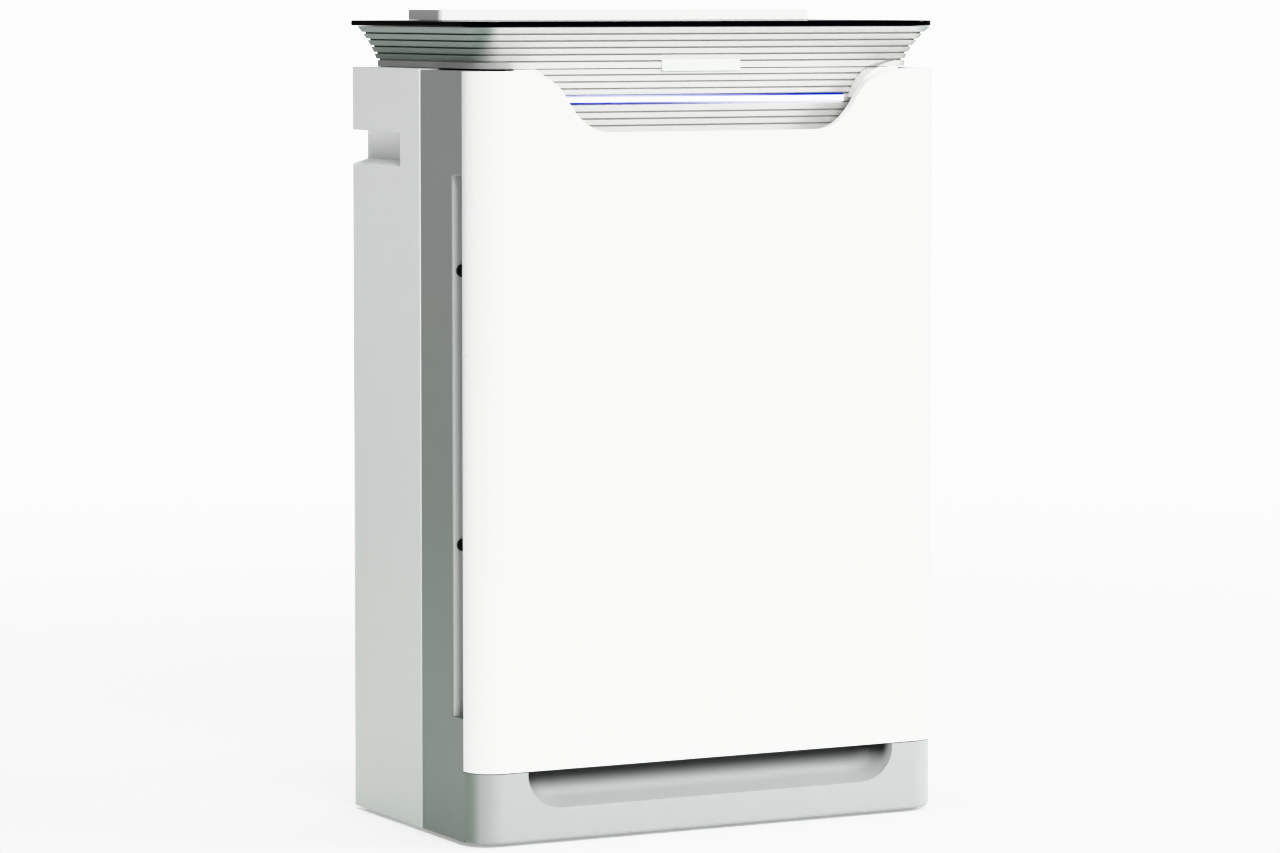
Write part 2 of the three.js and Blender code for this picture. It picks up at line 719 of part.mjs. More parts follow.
// A plate with a grid of rectangular windows between rails.
function grid(half, y0, y1, z0, z1, across, columns, rows, rail) {
  const plate = middleBox(half, y0, y1, z0, z1);
  const [deep, from, to] = across === "z" ? [false, z0, z1] : [true, y0, y1];
  const width = (2 * half - rail * (columns + 1)) / columns;
  const height = (to - from - rail * (rows + 1)) / rows;
  const windows = Array.from({ length: columns * rows }, (_, i) => {
    const x = -half + rail + (i % columns) * (width + rail);
    const low = from + rail + Math.floor(i / columns) * (height + rail);
    return deep
      ? box(x, x + width, low, low + height, z0 - 1, z1 + 1)
      : box(x, x + width, y0 - 1, y1 + 1, low, low + height);
  });
  return cut(plate, ...windows);
}

// Fixed slats across the outlet, tied by cross bars.
function outletGrille() {
  const half = outletHalf - outletBorder - wall - clearance;
  const y0 = outletY0 + outletBorder + wall + clearance;
  const y1 = outletY1 - outletBorder - wall - clearance;
  const z1 = glassTop + outletRise - 1.2;
  return grid(half, y0, y1, z1 - grilleHeight, z1, "y", grilleColumns, slatCount + 1, slatThickness);
}

// A rectangular duct that widens from the scroll's mouth to the outlet.
function outletDuct() {
  const left = scrollStart * Math.cos(tongueAngle) - scrollWall;
  const right = scrollEnd + scrollWall;
  const wide = outletHalf - outletBorder;
  const section = (z, [x0, x1, y0, y1], inset) => ({
    z,
    points: [
      [x0 + inset, y0 + inset], [x1 - inset, y0 + inset], [x1 - inset, y1 - inset],
      [x0 + inset, y1 - inset],
    ].map(([x, y]) => new THREE.Vector2(x, y)),
  });
  const mouth = [left, right, scrollFront, scrollBack];
  const outlet = [-wide, wide, outletY0 + outletBorder, outletY1 - outletBorder];
  const z0 = scrollTop + clearance;
  const z1 = glassUnder - spigotDepth - clearance;
  const bend = mix(z0, z1, 0.7);
  const outside = loft([section(z0, mouth, 0), section(bend, outlet, 0), section(z1, outlet, 0)]);
  const inside = loft([
    section(z0 - 1, mouth, scrollWall), section(z0, mouth, scrollWall),
    section(bend, outlet, scrollWall), section(z1 + 1, outlet, scrollWall),
  ]);
  return cut(outside, inside);
}

// ---------------------------------------------------------------- filters
const prefilterFrame = () => {
  const y1 = prefilterY + prefilterDepth;
  const rim = frame(filterHalf, prefilterY, y1, filterBottom, filterTop, prefilterBorder);
  const third = (filterTop - filterBottom) / 3;
  const rails = [1, 2].map((i) => {
    const z = filterBottom + third * i;
    return middleBox(filterHalf - 2, prefilterY + 1, prefilterY + 3, z - 3, z + 3);
  });
  const post = box(-3, 3, prefilterY + 1, prefilterY + 3, filterBottom + 2, filterTop - 2);
  return join(rim, ...rails, post);
};

const prefilterMesh = () => {
  const half = filterHalf - prefilterBorder - clearance;
  const y = prefilterY + 3 + clearance;
  const inset = prefilterBorder + clearance;
  return middleBox(half, y, y + meshThickness, filterBottom + inset, filterTop - inset);
};

const hepaFrame = () =>
  frame(filterHalf, hepaY, hepaY + hepaDepth, filterBottom, filterTop, hepaBorder);

// Folded paper: a zigzag sheet that runs from side to side.
function hepaPleats() {
  const half = filterHalf - hepaBorder - clearance;
  const y0 = hepaY + 2;
  const y1 = hepaY + hepaDepth - 2;
  const folds = 2 * Math.round((2 * half) / pleatPitch / 2);
  const step = (2 * half) / folds;
  const edge = (shift) =>
    Array.from({ length: folds + 1 }, (_, i) => {
      const y = (i % 2 ? y1 - pleatThickness : y0) + shift;
      return new THREE.Vector2(-half + i * step, y);
    });
  const outline = new THREE.Shape([...edge(0), ...edge(pleatThickness).reverse()]);
  return prismZ(outline, filterBottom + hepaBorder + clearance, filterTop - hepaBorder - clearance);
}

const carbonFrame = () =>
  frame(filterHalf, carbonY, carbonY + carbonDepth, filterBottom, filterTop, hepaBorder);

const carbonCore = () => {
  const inset = hepaBorder + clearance;
  return middleBox(filterHalf - inset, carbonY + 2, carbonY + carbonDepth - 2, filterBottom + inset,
    filterTop - inset);
};

const filterTab = (side) => {
  const x = (side * filterHalf) / 2;
  const y = hepaY - clearance;
  const z = filterBottom + 40;
  return box(x - tabHalf, x + tabHalf, y - tabThickness, y, z, z + tabLength);
};

// An open plate behind the filters that they rest against.
const bayGrille = () =>
  grid(bayHalf - clearance, grilleY, grilleY + grilleThickness, bayBottom + clearance,
    bayTop - clearance, "z", 6, 8, grilleRail);

// ---------------------------------------------------------------- fan
// The scroll's outline: a spiral round the wheel, opening upwards into a straight throat.
function scrollShape(grow, top) {
  const steps = 20;
  const points = Array.from({ length: steps + 1 }, (_, i) => {
    const angle = mix(tongueAngle, 4 * quarter, i / steps);
    const radius = mix(scrollStart, scrollEnd, i / steps) + grow;
    return new THREE.Vector2(radius * Math.cos(angle), fanHeight + radius * Math.sin(angle));
  });
  points.push(new THREE.Vector2(scrollEnd + grow, top));
  points.push(new THREE.Vector2(scrollStart * Math.cos(tongueAngle) - grow, top));
  return new THREE.Shape(points);
}

function scroll() {
  const outer = prismY(scrollShape(scrollWall, scrollTop), scrollFront, scrollBack);
  const inner = prismY(scrollShape(0, scrollTop + 5), scrollFront + scrollWall, scrollBack - scrollWall);
  const inlet = rodY(inletRadius, 0, fanHeight, scrollFront - 1, scrollFront + scrollWall + 1, 40);
  const motorHole = rodY(hubRadius + 4, 0, fanHeight, scrollBack - scrollWall - 1, scrollBack + 1);
  return cut(outer, inner, inlet, motorHole);
}

// A turned piece about the fan's axis, from (radius, y) points.
function turned(profile, sides = 40) {
  const points = profile.map(([radius, y]) => new THREE.Vector2(radius, y));
  points.push(points[0].clone());
  const made = solid(new THREE.LatheGeometry(points, sides));
  return made.volume() < 0 ? solid(new THREE.LatheGeometry(points.reverse(), sides)) : made;
}

const atFan = (made) => made.translate([0, 0, fanHeight]);

const inletRing = () => {
  const face = scrollFront - clearance;
  const throat = inletRadius - clearance - 0.4;
  return atFan(turned([
    [throat + 8, face], [throat + 8, face - 2], [throat + 2, face - 4], [throat - 4, face - 2],
    [throat - 7, face + 3], [throat - 7, wheelFront - 1.5], [throat - 4.6, wheelFront - 1.5],
    [throat - 4.6, face + 3], [throat - 2.4, face],
  ]));
};

// Concentric rings on spokes in front of the inlet.
function fanGuard() {
  const y1 = scrollFront - clearance - 4 - clearance;
  const y0 = y1 - 2;
  const reach = inletRadius + 6;
  const rings = Array.from({ length: guardRings }, (_, i) => {
    const radius = mix(guardHub, reach, i / (guardRings - 1));
    return turned([[radius - 1.1, y0], [radius + 1.1, y0], [radius + 1.1, y1], [radius - 1.1, y1]], 24);
  });
  const [s0, s1] = [y0 + 0.3, y1 - 0.3]; // the spokes are a little thinner than the rings
  const spokes = [box(-reach, reach, s0, s1, -1.5, 1.5), box(-1.5, 1.5, s0, s1, -reach, reach)];
  return atFan(join(...rings, ...spokes, rodY(14, 0, 0, y0, y1)));
}

// A forward-curved wheel: back plate with hub, blades and a front ring.
function fanWheel() {
  const plate = turned([
    [shaftRadius + clearance, wheelBack - hubDepth], [hubRadius, wheelBack - hubDepth],
    [hubRadius + 4, wheelBack - 6], [wheelRadius, wheelBack - 3], [wheelRadius, wheelBack],
    [shaftRadius + clearance, wheelBack],
  ]);
  const ring = turned([
    [bladeInner + 6, wheelFront], [wheelRadius, wheelFront], [wheelRadius, wheelFront + 2.4],
    [bladeInner + 6, wheelFront + 2.4],
  ]);
  const steps = 2;
  const blades = Array.from({ length: bladeCount }, (_, blade) => {
    const side = (offset) =>
      Array.from({ length: steps + 1 }, (_, i) => {
        const t = i / steps;
        const radius = mix(bladeInner, wheelRadius - 0.8, t);
        const angle = (blade / bladeCount) * 4 * quarter + bladeBow * t * t + offset / radius;
        return new THREE.Vector2(radius * Math.cos(angle), radius * Math.sin(angle));
      });
    const outline = [...side(0), ...side(bladeThickness).reverse()];
    return prismY(new THREE.Shape(outline), wheelFront + 1, wheelBack - 2);
  });
  return atFan(join(plate, ring, ...blades));
}

const shaftFront = wheelBack - hubDepth - 12;
const bracketBack = scrollBack + clearance + 2.4;
const motorBack = back - wall - 1;

const motorShaft = () => rodY(shaftRadius, 0, fanHeight, shaftFront, bracketBack + 8, 16);

const shaftNut = () => {
  const y0 = shaftFront + 3;
  const nut = rodY(9, 0, fanHeight, y0, y0 + 7, 6);
  return cut(nut, rodY(shaftRadius + clearance, 0, fanHeight, y0 - 1, y0 + 8, 16));
};

const motorBracket = () => {
  const y0 = scrollBack + clearance;
  const disc = rodY(motorRadius + 4, 0, fanHeight, y0, bracketBack, 32);
  const arms = [1, -1].map((slope) => {
    const arm = box(-motorRadius - 34, motorRadius + 34, y0, bracketBack, -8, 8);
    return arm.rotate([0, slope * 45, 0]).translate([0, 0, fanHeight]);
  });
  return cut(join(disc, ...arms), rodY(shaftRadius + 3, 0, fanHeight, y0 - 1, bracketBack + 1));
};

const motorBody = () => {
  const y0 = bracketBack + clearance;
  return atFan(turned([
    [shaftRadius + clearance, y0], [motorRadius - 4, y0], [motorRadius, y0 + 3],
    [motorRadius, motorBack - 4], [motorRadius - 5, motorBack], [0, motorBack],
    [0, bracketBack + 8 + clearance], [shaftRadius + clearance, bracketBack + 8 + clearance],
  ], 32));
};

// ---------------------------------------------------------------- lamp, boards and sensors
const uvLamp = () => {
  const tube = new THREE.CylinderGeometry(lampRadius, lampRadius, 2 * lampHalf, 16);
  tube.rotateZ(quarter);
  tube.translate(0, lampY, lampZ);
  return solid(tube);
};

const uvSocket = (side) => {
  const reach = socketHalf + 1;
  const [x0, x1] = [lampHalf - socketHalf, lampHalf + socketHalf]
    .map((x) => side * x)
    .sort((a, b) => a - b);
  const block = box(
    x0, x1, lampY - socketSize, scrollFront - clearance, lampZ - socketSize, lampZ + socketSize,
  );
  const radius = lampRadius + clearance;
  const bore = new THREE.CylinderGeometry(radius, radius, reach + clearance, 16);
  bore.rotateZ(quarter);
  bore.translate(side * (lampHalf - (reach - clearance) / 2), lampY, lampZ);
  return cut(block, solid(bore));
};

// A small box with two needles that point into the air stream.
const ioniser = () => {
  const [x0, x1] = [scrollStart - 257, scrollStart - 207];
  const [y0, z0] = [lampY + 4, bayTop + 16];
  const needles = [x0 + 15, x1 - 15].map((x) => rodY(2.5, x, z0 + 12, y0 - 7, y0 + 1, 12));
  return join(box(x0, x1, y0, y0 + 22, z0, z0 + 24), ...needles);
};

// A board on four posts with a transformer, a capacitor and two blocks.
const powerBoard = () => {
  const [x0, x1] = [-120, 20];
  const [y0, y1] = [seam + 27, seam + 107];
  const z0 = plateTop + 14;
  const board = box(x0, x1, y0, y1, z0, z0 + 1.6);
  const parts = [
    box(x0 + 10, x0 + 42, y0 + 12, y0 + 44, z0 + 1, z0 + 30),
    box(x0 + 60, x0 + 74, y0 + 10, y0 + 24, z0 + 1, z0 + 24),
    box(x0 + 90, x1 - 12, y1 - 30, y1 - 14, z0 + 1, z0 + 18),
    box(x0 + 54, x0 + 80, y1 - 34, y1 - 10, z0 + 1, z0 + 20),
  ];
  const posts = [[x0, y0], [x1 - 8, y0], [x0, y1 - 8], [x1 - 8, y1 - 8]].map(([x, y]) =>
    box(x + 1, x + 7, y + 1, y + 7, plateTop + clearance, z0 + 0.5),
  );
  return join(board, ...parts, ...posts);
};

const controlBoard = () => {
  const z1 = glassUnder;
  const board = box(-95, 95, fascia + 10, fascia + 46, z1 - 5, z1 - 3.4);
  const keys = [-80, -48, -16, 16, 48, 80].map((x) =>
    box(x - 6, x + 6, fascia + 16, fascia + 28, z1 - 4, z1 - 0.1),
  );
  return join(board, ...keys);
};

const lightBoard = () => {
  const y0 = fascia + fasciaDepth + clearance;
  return middleBox(lightHalf - 4, y0 + 1, y0 + 2.6, lightBottom - 3, lightTop + 3);
};

const dustSensor = () => {
  const x1 = halfBody - wall - clearance;
  const block = box(x1 - 22, x1, ventFront - 3, ventBack + 3, ventZ - 6, ventZ + 44);
  const middle = (ventFront + ventBack) / 2;
  return cut(block, box(x1 - 8, x1 + 1, middle - 6, middle + 6, ventZ + 12, ventZ + 26));
};

const safetySwitch = () => {
  const body = box(
    switchX - switchHalf, switchX + switchHalf, panelBack + clearance,
    panelBack + switchLength, switchZ - switchHalf, switchZ + switchHalf,
  );
  return cut(body, rodY(plungerRadius + clearance, switchX, switchZ, panelBack - 1, panelBack + 11, 16));
};

const switchPlunger = () => rodY(plungerRadius, switchX, switchZ, plungerTip, panelBack + 9, 16);

const switchPeg = () =>
  rodY(pegRadius, switchX, switchZ, front + wall + clearance, plungerTip - clearance, 16);

// ---------------------------------------------------------------- underside
const basePlate = () => {
  const x = halfFrame - wall - clearance;
  const outline = plan(x, panelBack + 2 + clearance, back - 12 - clearance, 3, 3);
  return prismZ(outline, bodyBottom + 0.2, plateTop);
};

const foot = (side, end) => {
  const height = footHeight;
  const geometry = new THREE.CylinderGeometry(footRadius, footRadius - 1.5, height, 24);
  geometry.rotateX(quarter);
  const y = end > 0 ? back - 26 : front + 40;
  geometry.translate(side * (halfBody - footInset), y, height / 2 - 0.05);
  return solid(geometry).translate([0, 0, 0.05]);
};

// ---------------------------------------------------------------- the object
const purifier = new THREE.Group();
purifier.name = "air_purifier";

function add(name, made, look) {
  const mesh = new THREE.Mesh(geometryOf(made), new THREE.MeshStandardMaterial(finish[look]));
  mesh.name = name;
  purifier.add(mesh);
}

const sides = [["left", -1], ["right", 1]];

add("front_panel", frontPanel(), "white");
for (const [name, side] of sides) {
  add(`panel_clip_${name}`, panelPin(side, clipZ), "inner");
  add(`panel_peg_${name}`, panelPin(side, pegZ), "inner");
}
add("switch_peg", switchPeg(), "inner");

add("middle_frame", middleFrame(), "grey");
for (const [name, side] of sides) {
  bumperHeights.forEach((z, i) => {
    add(`buffer_${name}_${i ? "upper" : "lower"}`, bumper(side, z), "black");
  });
}
add("rear_shell", rearShell(), "pale");
for (const [name, side] of sides) {
  screwHeights.forEach((z, i) => add(`rear_screw_${name}_${i + 1}`, rearScrew(side, z), "steel"));
}
add("cord_gland", cordGland(), "black");

add("collar", collar(), "ribbed");
add("fascia_surround", fasciaSurround(), "white");
add("light_bar", lightBar(), "light");
add("light_board", lightBoard(), "board");
add("display_window", displayWindow(), "label");
add("top_glass", topGlass(), "glass");
add("control_board", controlBoard(), "board");
add("outlet_frame", outletFrame(), "white");
add("outlet_grille", outletGrille(), "white");
add("outlet_duct", outletDuct(), "inner");

add("prefilter_frame", prefilterFrame(), "black");
add("prefilter_mesh", prefilterMesh(), "black");
add("hepa_frame", hepaFrame(), "white");
add("hepa_pleats", hepaPleats(), "paper");
add("carbon_frame", carbonFrame(), "white");
add("carbon_core", carbonCore(), "carbon");
for (const [name, side] of sides) {
  add(`filter_tab_${name}`, filterTab(side), "fabric");
}
add("bay_grille", bayGrille(), "inner");

add("scroll", scroll(), "inner");
add("inlet_ring", inletRing(), "inner");
add("fan_guard", fanGuard(), "black");
add("fan_wheel", fanWheel(), "white");
add("motor_shaft", motorShaft(), "steel");
add("shaft_nut", shaftNut(), "steel");
add("motor_bracket", motorBracket(), "steel");
add("motor_body", motorBody(), "steel");

add("uv_lamp", uvLamp(), "lamp");
for (const [name, side] of sides) {
  add(`uv_socket_${name}`, uvSocket(side), "white");
}
add("ioniser", ioniser(), "white");
add("power_board", powerBoard(), "board");
add("dust_sensor", dustSensor(), "black");
add("safety_switch", safetySwitch(), "black");
add("switch_plunger", switchPlunger(), "white");

add("base_plate", basePlate(), "grey");
for (const [name, side] of sides) {
  add(`foot_front_${name}`, foot(side, -1), "black");
  add(`foot_back_${name}`, foot(side, 1), "black");
}

export default purifier;
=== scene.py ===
import json
import math
from contextlib import contextmanager

import bmesh
import bpy
from bpy.props import FloatProperty, FloatVectorProperty, IntProperty, PointerProperty
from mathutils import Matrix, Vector

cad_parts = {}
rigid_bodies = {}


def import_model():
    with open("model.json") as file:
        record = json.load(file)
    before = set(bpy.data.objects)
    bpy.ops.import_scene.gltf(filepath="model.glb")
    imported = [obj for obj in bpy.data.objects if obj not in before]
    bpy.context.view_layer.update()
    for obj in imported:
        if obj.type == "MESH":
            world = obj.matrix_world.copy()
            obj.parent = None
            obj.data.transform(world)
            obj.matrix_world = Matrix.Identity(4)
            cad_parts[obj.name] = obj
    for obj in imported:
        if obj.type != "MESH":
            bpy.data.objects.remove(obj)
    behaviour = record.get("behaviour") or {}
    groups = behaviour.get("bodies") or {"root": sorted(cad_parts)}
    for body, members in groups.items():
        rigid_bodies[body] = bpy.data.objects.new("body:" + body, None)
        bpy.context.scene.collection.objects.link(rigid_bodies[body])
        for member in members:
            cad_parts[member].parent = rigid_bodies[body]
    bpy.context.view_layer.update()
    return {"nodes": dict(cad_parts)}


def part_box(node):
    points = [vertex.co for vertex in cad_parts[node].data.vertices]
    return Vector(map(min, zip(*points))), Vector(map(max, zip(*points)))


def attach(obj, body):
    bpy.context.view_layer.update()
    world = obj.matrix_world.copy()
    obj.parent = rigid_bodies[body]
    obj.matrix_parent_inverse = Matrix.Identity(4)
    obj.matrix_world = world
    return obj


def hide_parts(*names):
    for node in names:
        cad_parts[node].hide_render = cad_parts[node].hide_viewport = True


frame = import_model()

bl_info = {
    "name": "Air Purifier",
    "version": (1, 0, 0),
    "blender": (4, 5, 0),
    "location": "3D View > Sidebar > Purifier",
    "description": "Builds the moulded shells, ribbed head, glass top and finishes of an air purifier",
    "category": "Add Mesh",
}

MM = 0.001
CLEARANCE = 0.3 * MM  # between neighbouring pieces
NEAR = 0.05 * MM  # places closer than this count as the same
BODY_OF = {node: body.name.split(":")[1] for node, body in
           ((name, piece.parent) for name, piece in frame["nodes"].items())}


# ---------------------------------------------------------------- settings
def length(name, text, default):
    """A length property in metres."""
    return FloatProperty(name=name, description=text, default=default, unit="LENGTH", subtype="DISTANCE")


def colour(name, text, default):
    """A linear colour property."""
    return FloatVectorProperty(name=name, description=text, default=default, size=3, subtype="COLOR",
                               min=0, max=1)


class ShellSizes(bpy.types.PropertyGroup):
    """Sizes of the moulded shells."""
    corner: length("Front corner", "Radius of the cabinet's upright front corners", 24 * MM)
    wall: length("Wall", "Thickness of the mouldings", 2.6 * MM)
    edge: length("Edge", "Rounding of the mouldings' edges", 0.9 * MM)
    rim: length("Rim", "How far the panel's top edge turns back", 8 * MM)
    notch_top: length("Notch top", "Half width of the panel's notch where it starts", 177 * MM)
    notch_waist: length("Notch waist", "Half width of the notch half way down", 128 * MM)
    notch_floor: length("Notch floor", "Half width of the flat bottom of the notch", 92 * MM)
    notch_depth: length("Notch depth", "Depth of the notch", 48 * MM)
    base_top: length("Base top", "Height of the base's upper edge", 58 * MM)
    base_chamfer: length("Base chamfer", "Slope under the base's front edge", 3 * MM)
    scoop_half: length("Scoop half width", "Half width of the scoop under the panel", 166 * MM)
    scoop_floor: length("Scoop floor", "Height of the scoop's lower edge", 24.6 * MM)
    scoop_corner: length("Scoop corner", "Radius of the scoop's lower corners", 29 * MM)
    scoop_depth: length("Scoop depth", "Depth of the scoop", 21 * MM)
    slot_depth: length("Slot depth", "How far back the side slots reach behind the panel", 19.5 * MM)
    slot_foot: length("Slot foot", "Height of the side slots' lower end", 100 * MM)
    slot_drop: length("Slot drop", "From the shoulder down to the side slots' upper end", 81.5 * MM)


class HeadSizes(bpy.types.PropertyGroup):
    """Sizes of the ribbed head."""
    pitch: length("Rib pitch", "Distance from one rib to the next", 5.36 * MM)
    groove: length("Groove", "Depth of the grooves between the ribs", 2 * MM)
    gap: length("Groove height", "Height of a groove", 1.0 * MM)
    rounding: length("Rib rounding", "Rounding of a rib's edges", 0.6 * MM)
    wide_rib: length("Wide rib", "Height of the rib under the light bar", 6.3 * MM)
    band: length("Band", "Height of the smooth band under the ribs", 5.8 * MM)
    band_setback: length("Band setback", "How far the smooth band stands behind the panel's face", 8.5 * MM)
    band_radius: length("Band radius", "Front corner radius of the smooth band", 35 * MM)
    neck_setback: length("Neck setback", "How far the neck stands in from the cabinet's back", 8 * MM)
    # Where the painted shade on the head's sides begins, from the middle.
    side_shade_start: length("Side start", "Where the ribs' darker sides begin, from the middle", 190 * MM)
    lip_end: length("Lip end", "Half width of the rim's opening at its foot", 152 * MM)
    bar_lap: length("Bar lap", "How far the diffuser runs on behind the rim", 6 * MM)
    neck_inset: length("Neck inset", "How far the neck stands in from the cabinet's side", 16 * MM)
    neck_radius: length("Neck radius", "Corner radius of the neck", 18 * MM)
    flare_power: FloatProperty(name="Flare", description="How late the head opens", default=1.6,
                               min=1, max=4)
    ribs: IntProperty(name="Ribs", description="Ribs on the flare", default=5, min=1, max=12)


class Colours(bpy.types.PropertyGroup):
    """Colours of the finishes."""
    white: colour("White", "Front panel and outlet", (0.84, 0.84, 0.83))
    pale: colour("Pale", "Rear shell", (0.85, 0.855, 0.85))
    grey: colour("Grey", "Middle frame and base", (0.305, 0.318, 0.315))
    # The two tones below are painted shade: the sides grow darker and tinted green towards the floor.
    grey_foot: colour("Grey foot", "Middle frame's sides near the floor", (0.165, 0.205, 0.172))
    pale_foot: colour("Pale foot", "Rear shell's sides near the floor", (0.57, 0.605, 0.58))
    rib: colour("Rib", "Ribbed head", (0.50, 0.50, 0.49))
    # Painted shade, tinted green, for the ribbed head's sides.
    rib_side_shade: colour("Rib side", "Ribbed head's darker sides", (0.22, 0.27, 0.24))
    label: colour("Window", "Display window", (0.74, 0.76, 0.74))
    glow: colour("Glow", "Light bar", (1.0, 1.0, 1.0))
    blue: colour("Blue", "Edges of the light bar", (0.0, 0.012, 0.33))


class StageSettings(bpy.types.PropertyGroup):
    """Camera and light."""
    place: FloatVectorProperty(name="Place", description="Where the camera stands", size=3,
                               default=(-1.8484, -3.5376, 0.6612), subtype="TRANSLATION")
    azimuth: FloatProperty(name="Azimuth", description="Camera's turn from straight ahead",
                           default=math.radians(-27.52), subtype="ANGLE")
    pitch: FloatProperty(name="Pitch", description="How far the camera looks down",
                         default=math.radians(4.10), subtype="ANGLE")
    lens: FloatProperty(name="Lens", description="Focal length in millimetres", default=139.0)
    shift: FloatProperty(name="Shift", description="Upward shift of the lens", default=-0.06)
    key: FloatProperty(name="Key", description="Power of the soft box in front", default=175)
    fill: FloatProperty(name="Fill", description="Power of the soft box at the right", default=170)
    overhead: FloatProperty(name="Overhead", description="Power of the soft box above", default=80)
    sky: FloatProperty(name="Sky", description="Brightness of the light from all round", default=0.36)


# ---------------------------------------------------------------- modelling tools
def alone(piece):
    """Makes the piece the only selected one, and the active one."""
    for other in bpy.context.selected_objects:
        other.select_set(False)
    piece.select_set(True)
    bpy.context.view_layer.objects.active = piece


def settle(piece):
    """Puts the object's place, turn and size into its mesh."""
    alone(piece)
    bpy.ops.object.transform_apply(location=True, rotation=True, scale=True)


@contextmanager
def editing(piece):
    """Edit mode on one piece, with nothing selected at first."""
    alone(piece)
    bpy.ops.object.mode_set(mode="EDIT")
    bpy.ops.mesh.select_all(action="DESELECT")
    yield
    bpy.ops.object.mode_set(mode="OBJECT")


def pick(piece, kind, test):
    """Selects the vertices, edges or faces that pass a test, and says how many there are."""
    bpy.ops.mesh.select_all(action="DESELECT")
    bpy.ops.mesh.select_mode(type=kind)
    mesh = bmesh.from_edit_mesh(piece.data)
    rows = {"VERT": mesh.verts, "EDGE": mesh.edges, "FACE": mesh.faces}[kind]
    chosen = [row for row in rows if test(row)]
    for row in chosen:
        row.select_set(True)
    mesh.select_flush_mode()
    bmesh.update_edit_mesh(piece.data)
    return len(chosen)


def middle(edge):
    """The middle of an edge."""
    return (edge.verts[0].co + edge.verts[1].co) / 2


def along(edge, axis):
    """True if an edge runs along an axis: 0, 1 or 2."""
    run = (edge.verts[1].co - edge.verts[0].co).normalized()
    return abs(run[axis]) > 0.999


def sharp(edge, angle=0.6):
    """True if the faces on an edge meet at more than an angle."""
    return len(edge.link_faces) == 2 and edge.calc_face_angle(0) > angle


def upright_before(place):
    """A test for upright edges in front of a place."""
    return lambda edge: along(edge, 2) and middle(edge).y < place


def round_edges(piece, width, segments, test):
    """Bevels the edges that pass a test."""
    with editing(piece):
        if not pick(piece, "EDGE", test):
            raise RuntimeError(f"{piece.name} has no edge to round")
        bpy.ops.mesh.bevel(offset=width, segments=segments, profile=0.5, affect="EDGES", clamp_overlap=True)


def cuboid(name, low, high):
    """A box between two corners."""
    low, high = Vector(low), Vector(high)
    bpy.ops.mesh.primitive_cube_add(size=1, location=(low + high) / 2, scale=high - low)
    piece = bpy.context.object
    piece.name = name
    settle(piece)
    return piece


def disc(name, radius, start, end, axis="Z", sides=48, tip=None):
    """A round bar along an axis from one point to another, with its own radius at the far end."""
    start, end = Vector(start), Vector(end)
    turn = {"Y": (math.radians(-90), 0, 0), "Z": (0, 0, 0)}[axis]
    bpy.ops.mesh.primitive_cone_add(
        vertices=sides, radius1=radius, radius2=radius if tip is None else tip, depth=(end - start).length,
        location=(start + end) / 2, rotation=turn,
    )
    piece = bpy.context.object
    piece.name = name
    settle(piece)
    return piece


def outline_solid(name, points, sweep):
    """A closed outline of points, swept along a direction into a solid."""
    bpy.ops.mesh.primitive_circle_add(vertices=len(points), radius=1, fill_type="NGON")
    piece = bpy.context.object
    piece.name = name
    for vertex, point in zip(piece.data.vertices, points):
        vertex.co = point
    with editing(piece):
        bpy.ops.mesh.select_all(action="SELECT")
        bpy.ops.mesh.extrude_region_move(TRANSFORM_OT_translate={"value": sweep})
        bpy.ops.mesh.select_all(action="SELECT")
        bpy.ops.mesh.normals_make_consistent(inside=False)
    return piece


def trim(piece, cutter, operation="DIFFERENCE"):
    """Cuts, joins or keeps what two pieces share, and takes the second one away."""
    alone(piece)
    boolean = piece.modifiers.new("trim", "BOOLEAN")
    boolean.operation = operation
    boolean.solver = "EXACT"
    boolean.object = cutter
    bpy.ops.object.modifier_apply(modifier=boolean.name)
    bpy.data.objects.remove(cutter)
    return piece


def joined(first, *others):
    """Several pieces as one object, each keeping its own shell."""
    alone(first)
    for other in others:
        other.select_set(True)
    bpy.ops.object.join()
    return first


def cad_copy(node, name):
    """A merged copy of a CAD node's mesh, with its flat faces whole again."""
    source = frame["nodes"][node]
    piece = bpy.data.objects.new(name, source.data.copy())
    bpy.context.scene.collection.objects.link(piece)
    with editing(piece):
        bpy.ops.mesh.select_all(action="SELECT")
        bpy.ops.mesh.remove_doubles(threshold=0.005 * MM)
        bpy.ops.mesh.dissolve_limited(angle_limit=math.radians(0.3))
    return piece


def smooth(piece, angle=32):
    """Smooth shading that keeps flat faces flat and edges over an angle sharp."""
    alone(piece)
    bpy.ops.object.shade_smooth_by_angle(angle=math.radians(angle))
    weighted = piece.modifiers.new("even normals", "WEIGHTED_NORMAL")
    weighted.keep_sharp = True
    bpy.ops.object.modifier_apply(modifier=weighted.name)
    return piece


def place(piece, material, slot, *nodes):
    """Finishes a piece: its material and body, and the CAD nodes that it stands for, which it hides; the slot
    is not used.
    """
    piece.data.materials.clear()
    piece.data.materials.append(material)
    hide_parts(*nodes)
    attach(piece, BODY_OF[nodes[0]])
    return piece


def dress(material, *nodes):
    """Gives CAD nodes a material."""
    for node in nodes:
        piece = frame["nodes"][node]
        piece.data.materials.clear()
        piece.data.materials.append(material)


def curve(start, first, second, end, steps):
    """Points on a cubic curve, without its last one."""
    points = []
    for step in range(steps):
        t = step / steps
        u = 1 - t
        weights = (u ** 3, 3 * u * u * t, 3 * u * t * t, t ** 3)
        points.append(tuple(sum(w * p[i] for w, p in zip(weights, (start, first, second, end)))
                            for i in (0, 1)))
    return points


def arc(centre, radius, start, end, steps):
    """Points on an arc between two angles in degrees, both ends included."""
    turns = [math.radians(start + (end - start) * step / steps) for step in range(steps + 1)]
    return [(centre[0] + radius * math.cos(t), centre[1] + radius * math.sin(t)) for t in turns]


def mirrored(right):
    """An outline from its right half."""
    return right + [(-x, z) for x, z in reversed(right)]


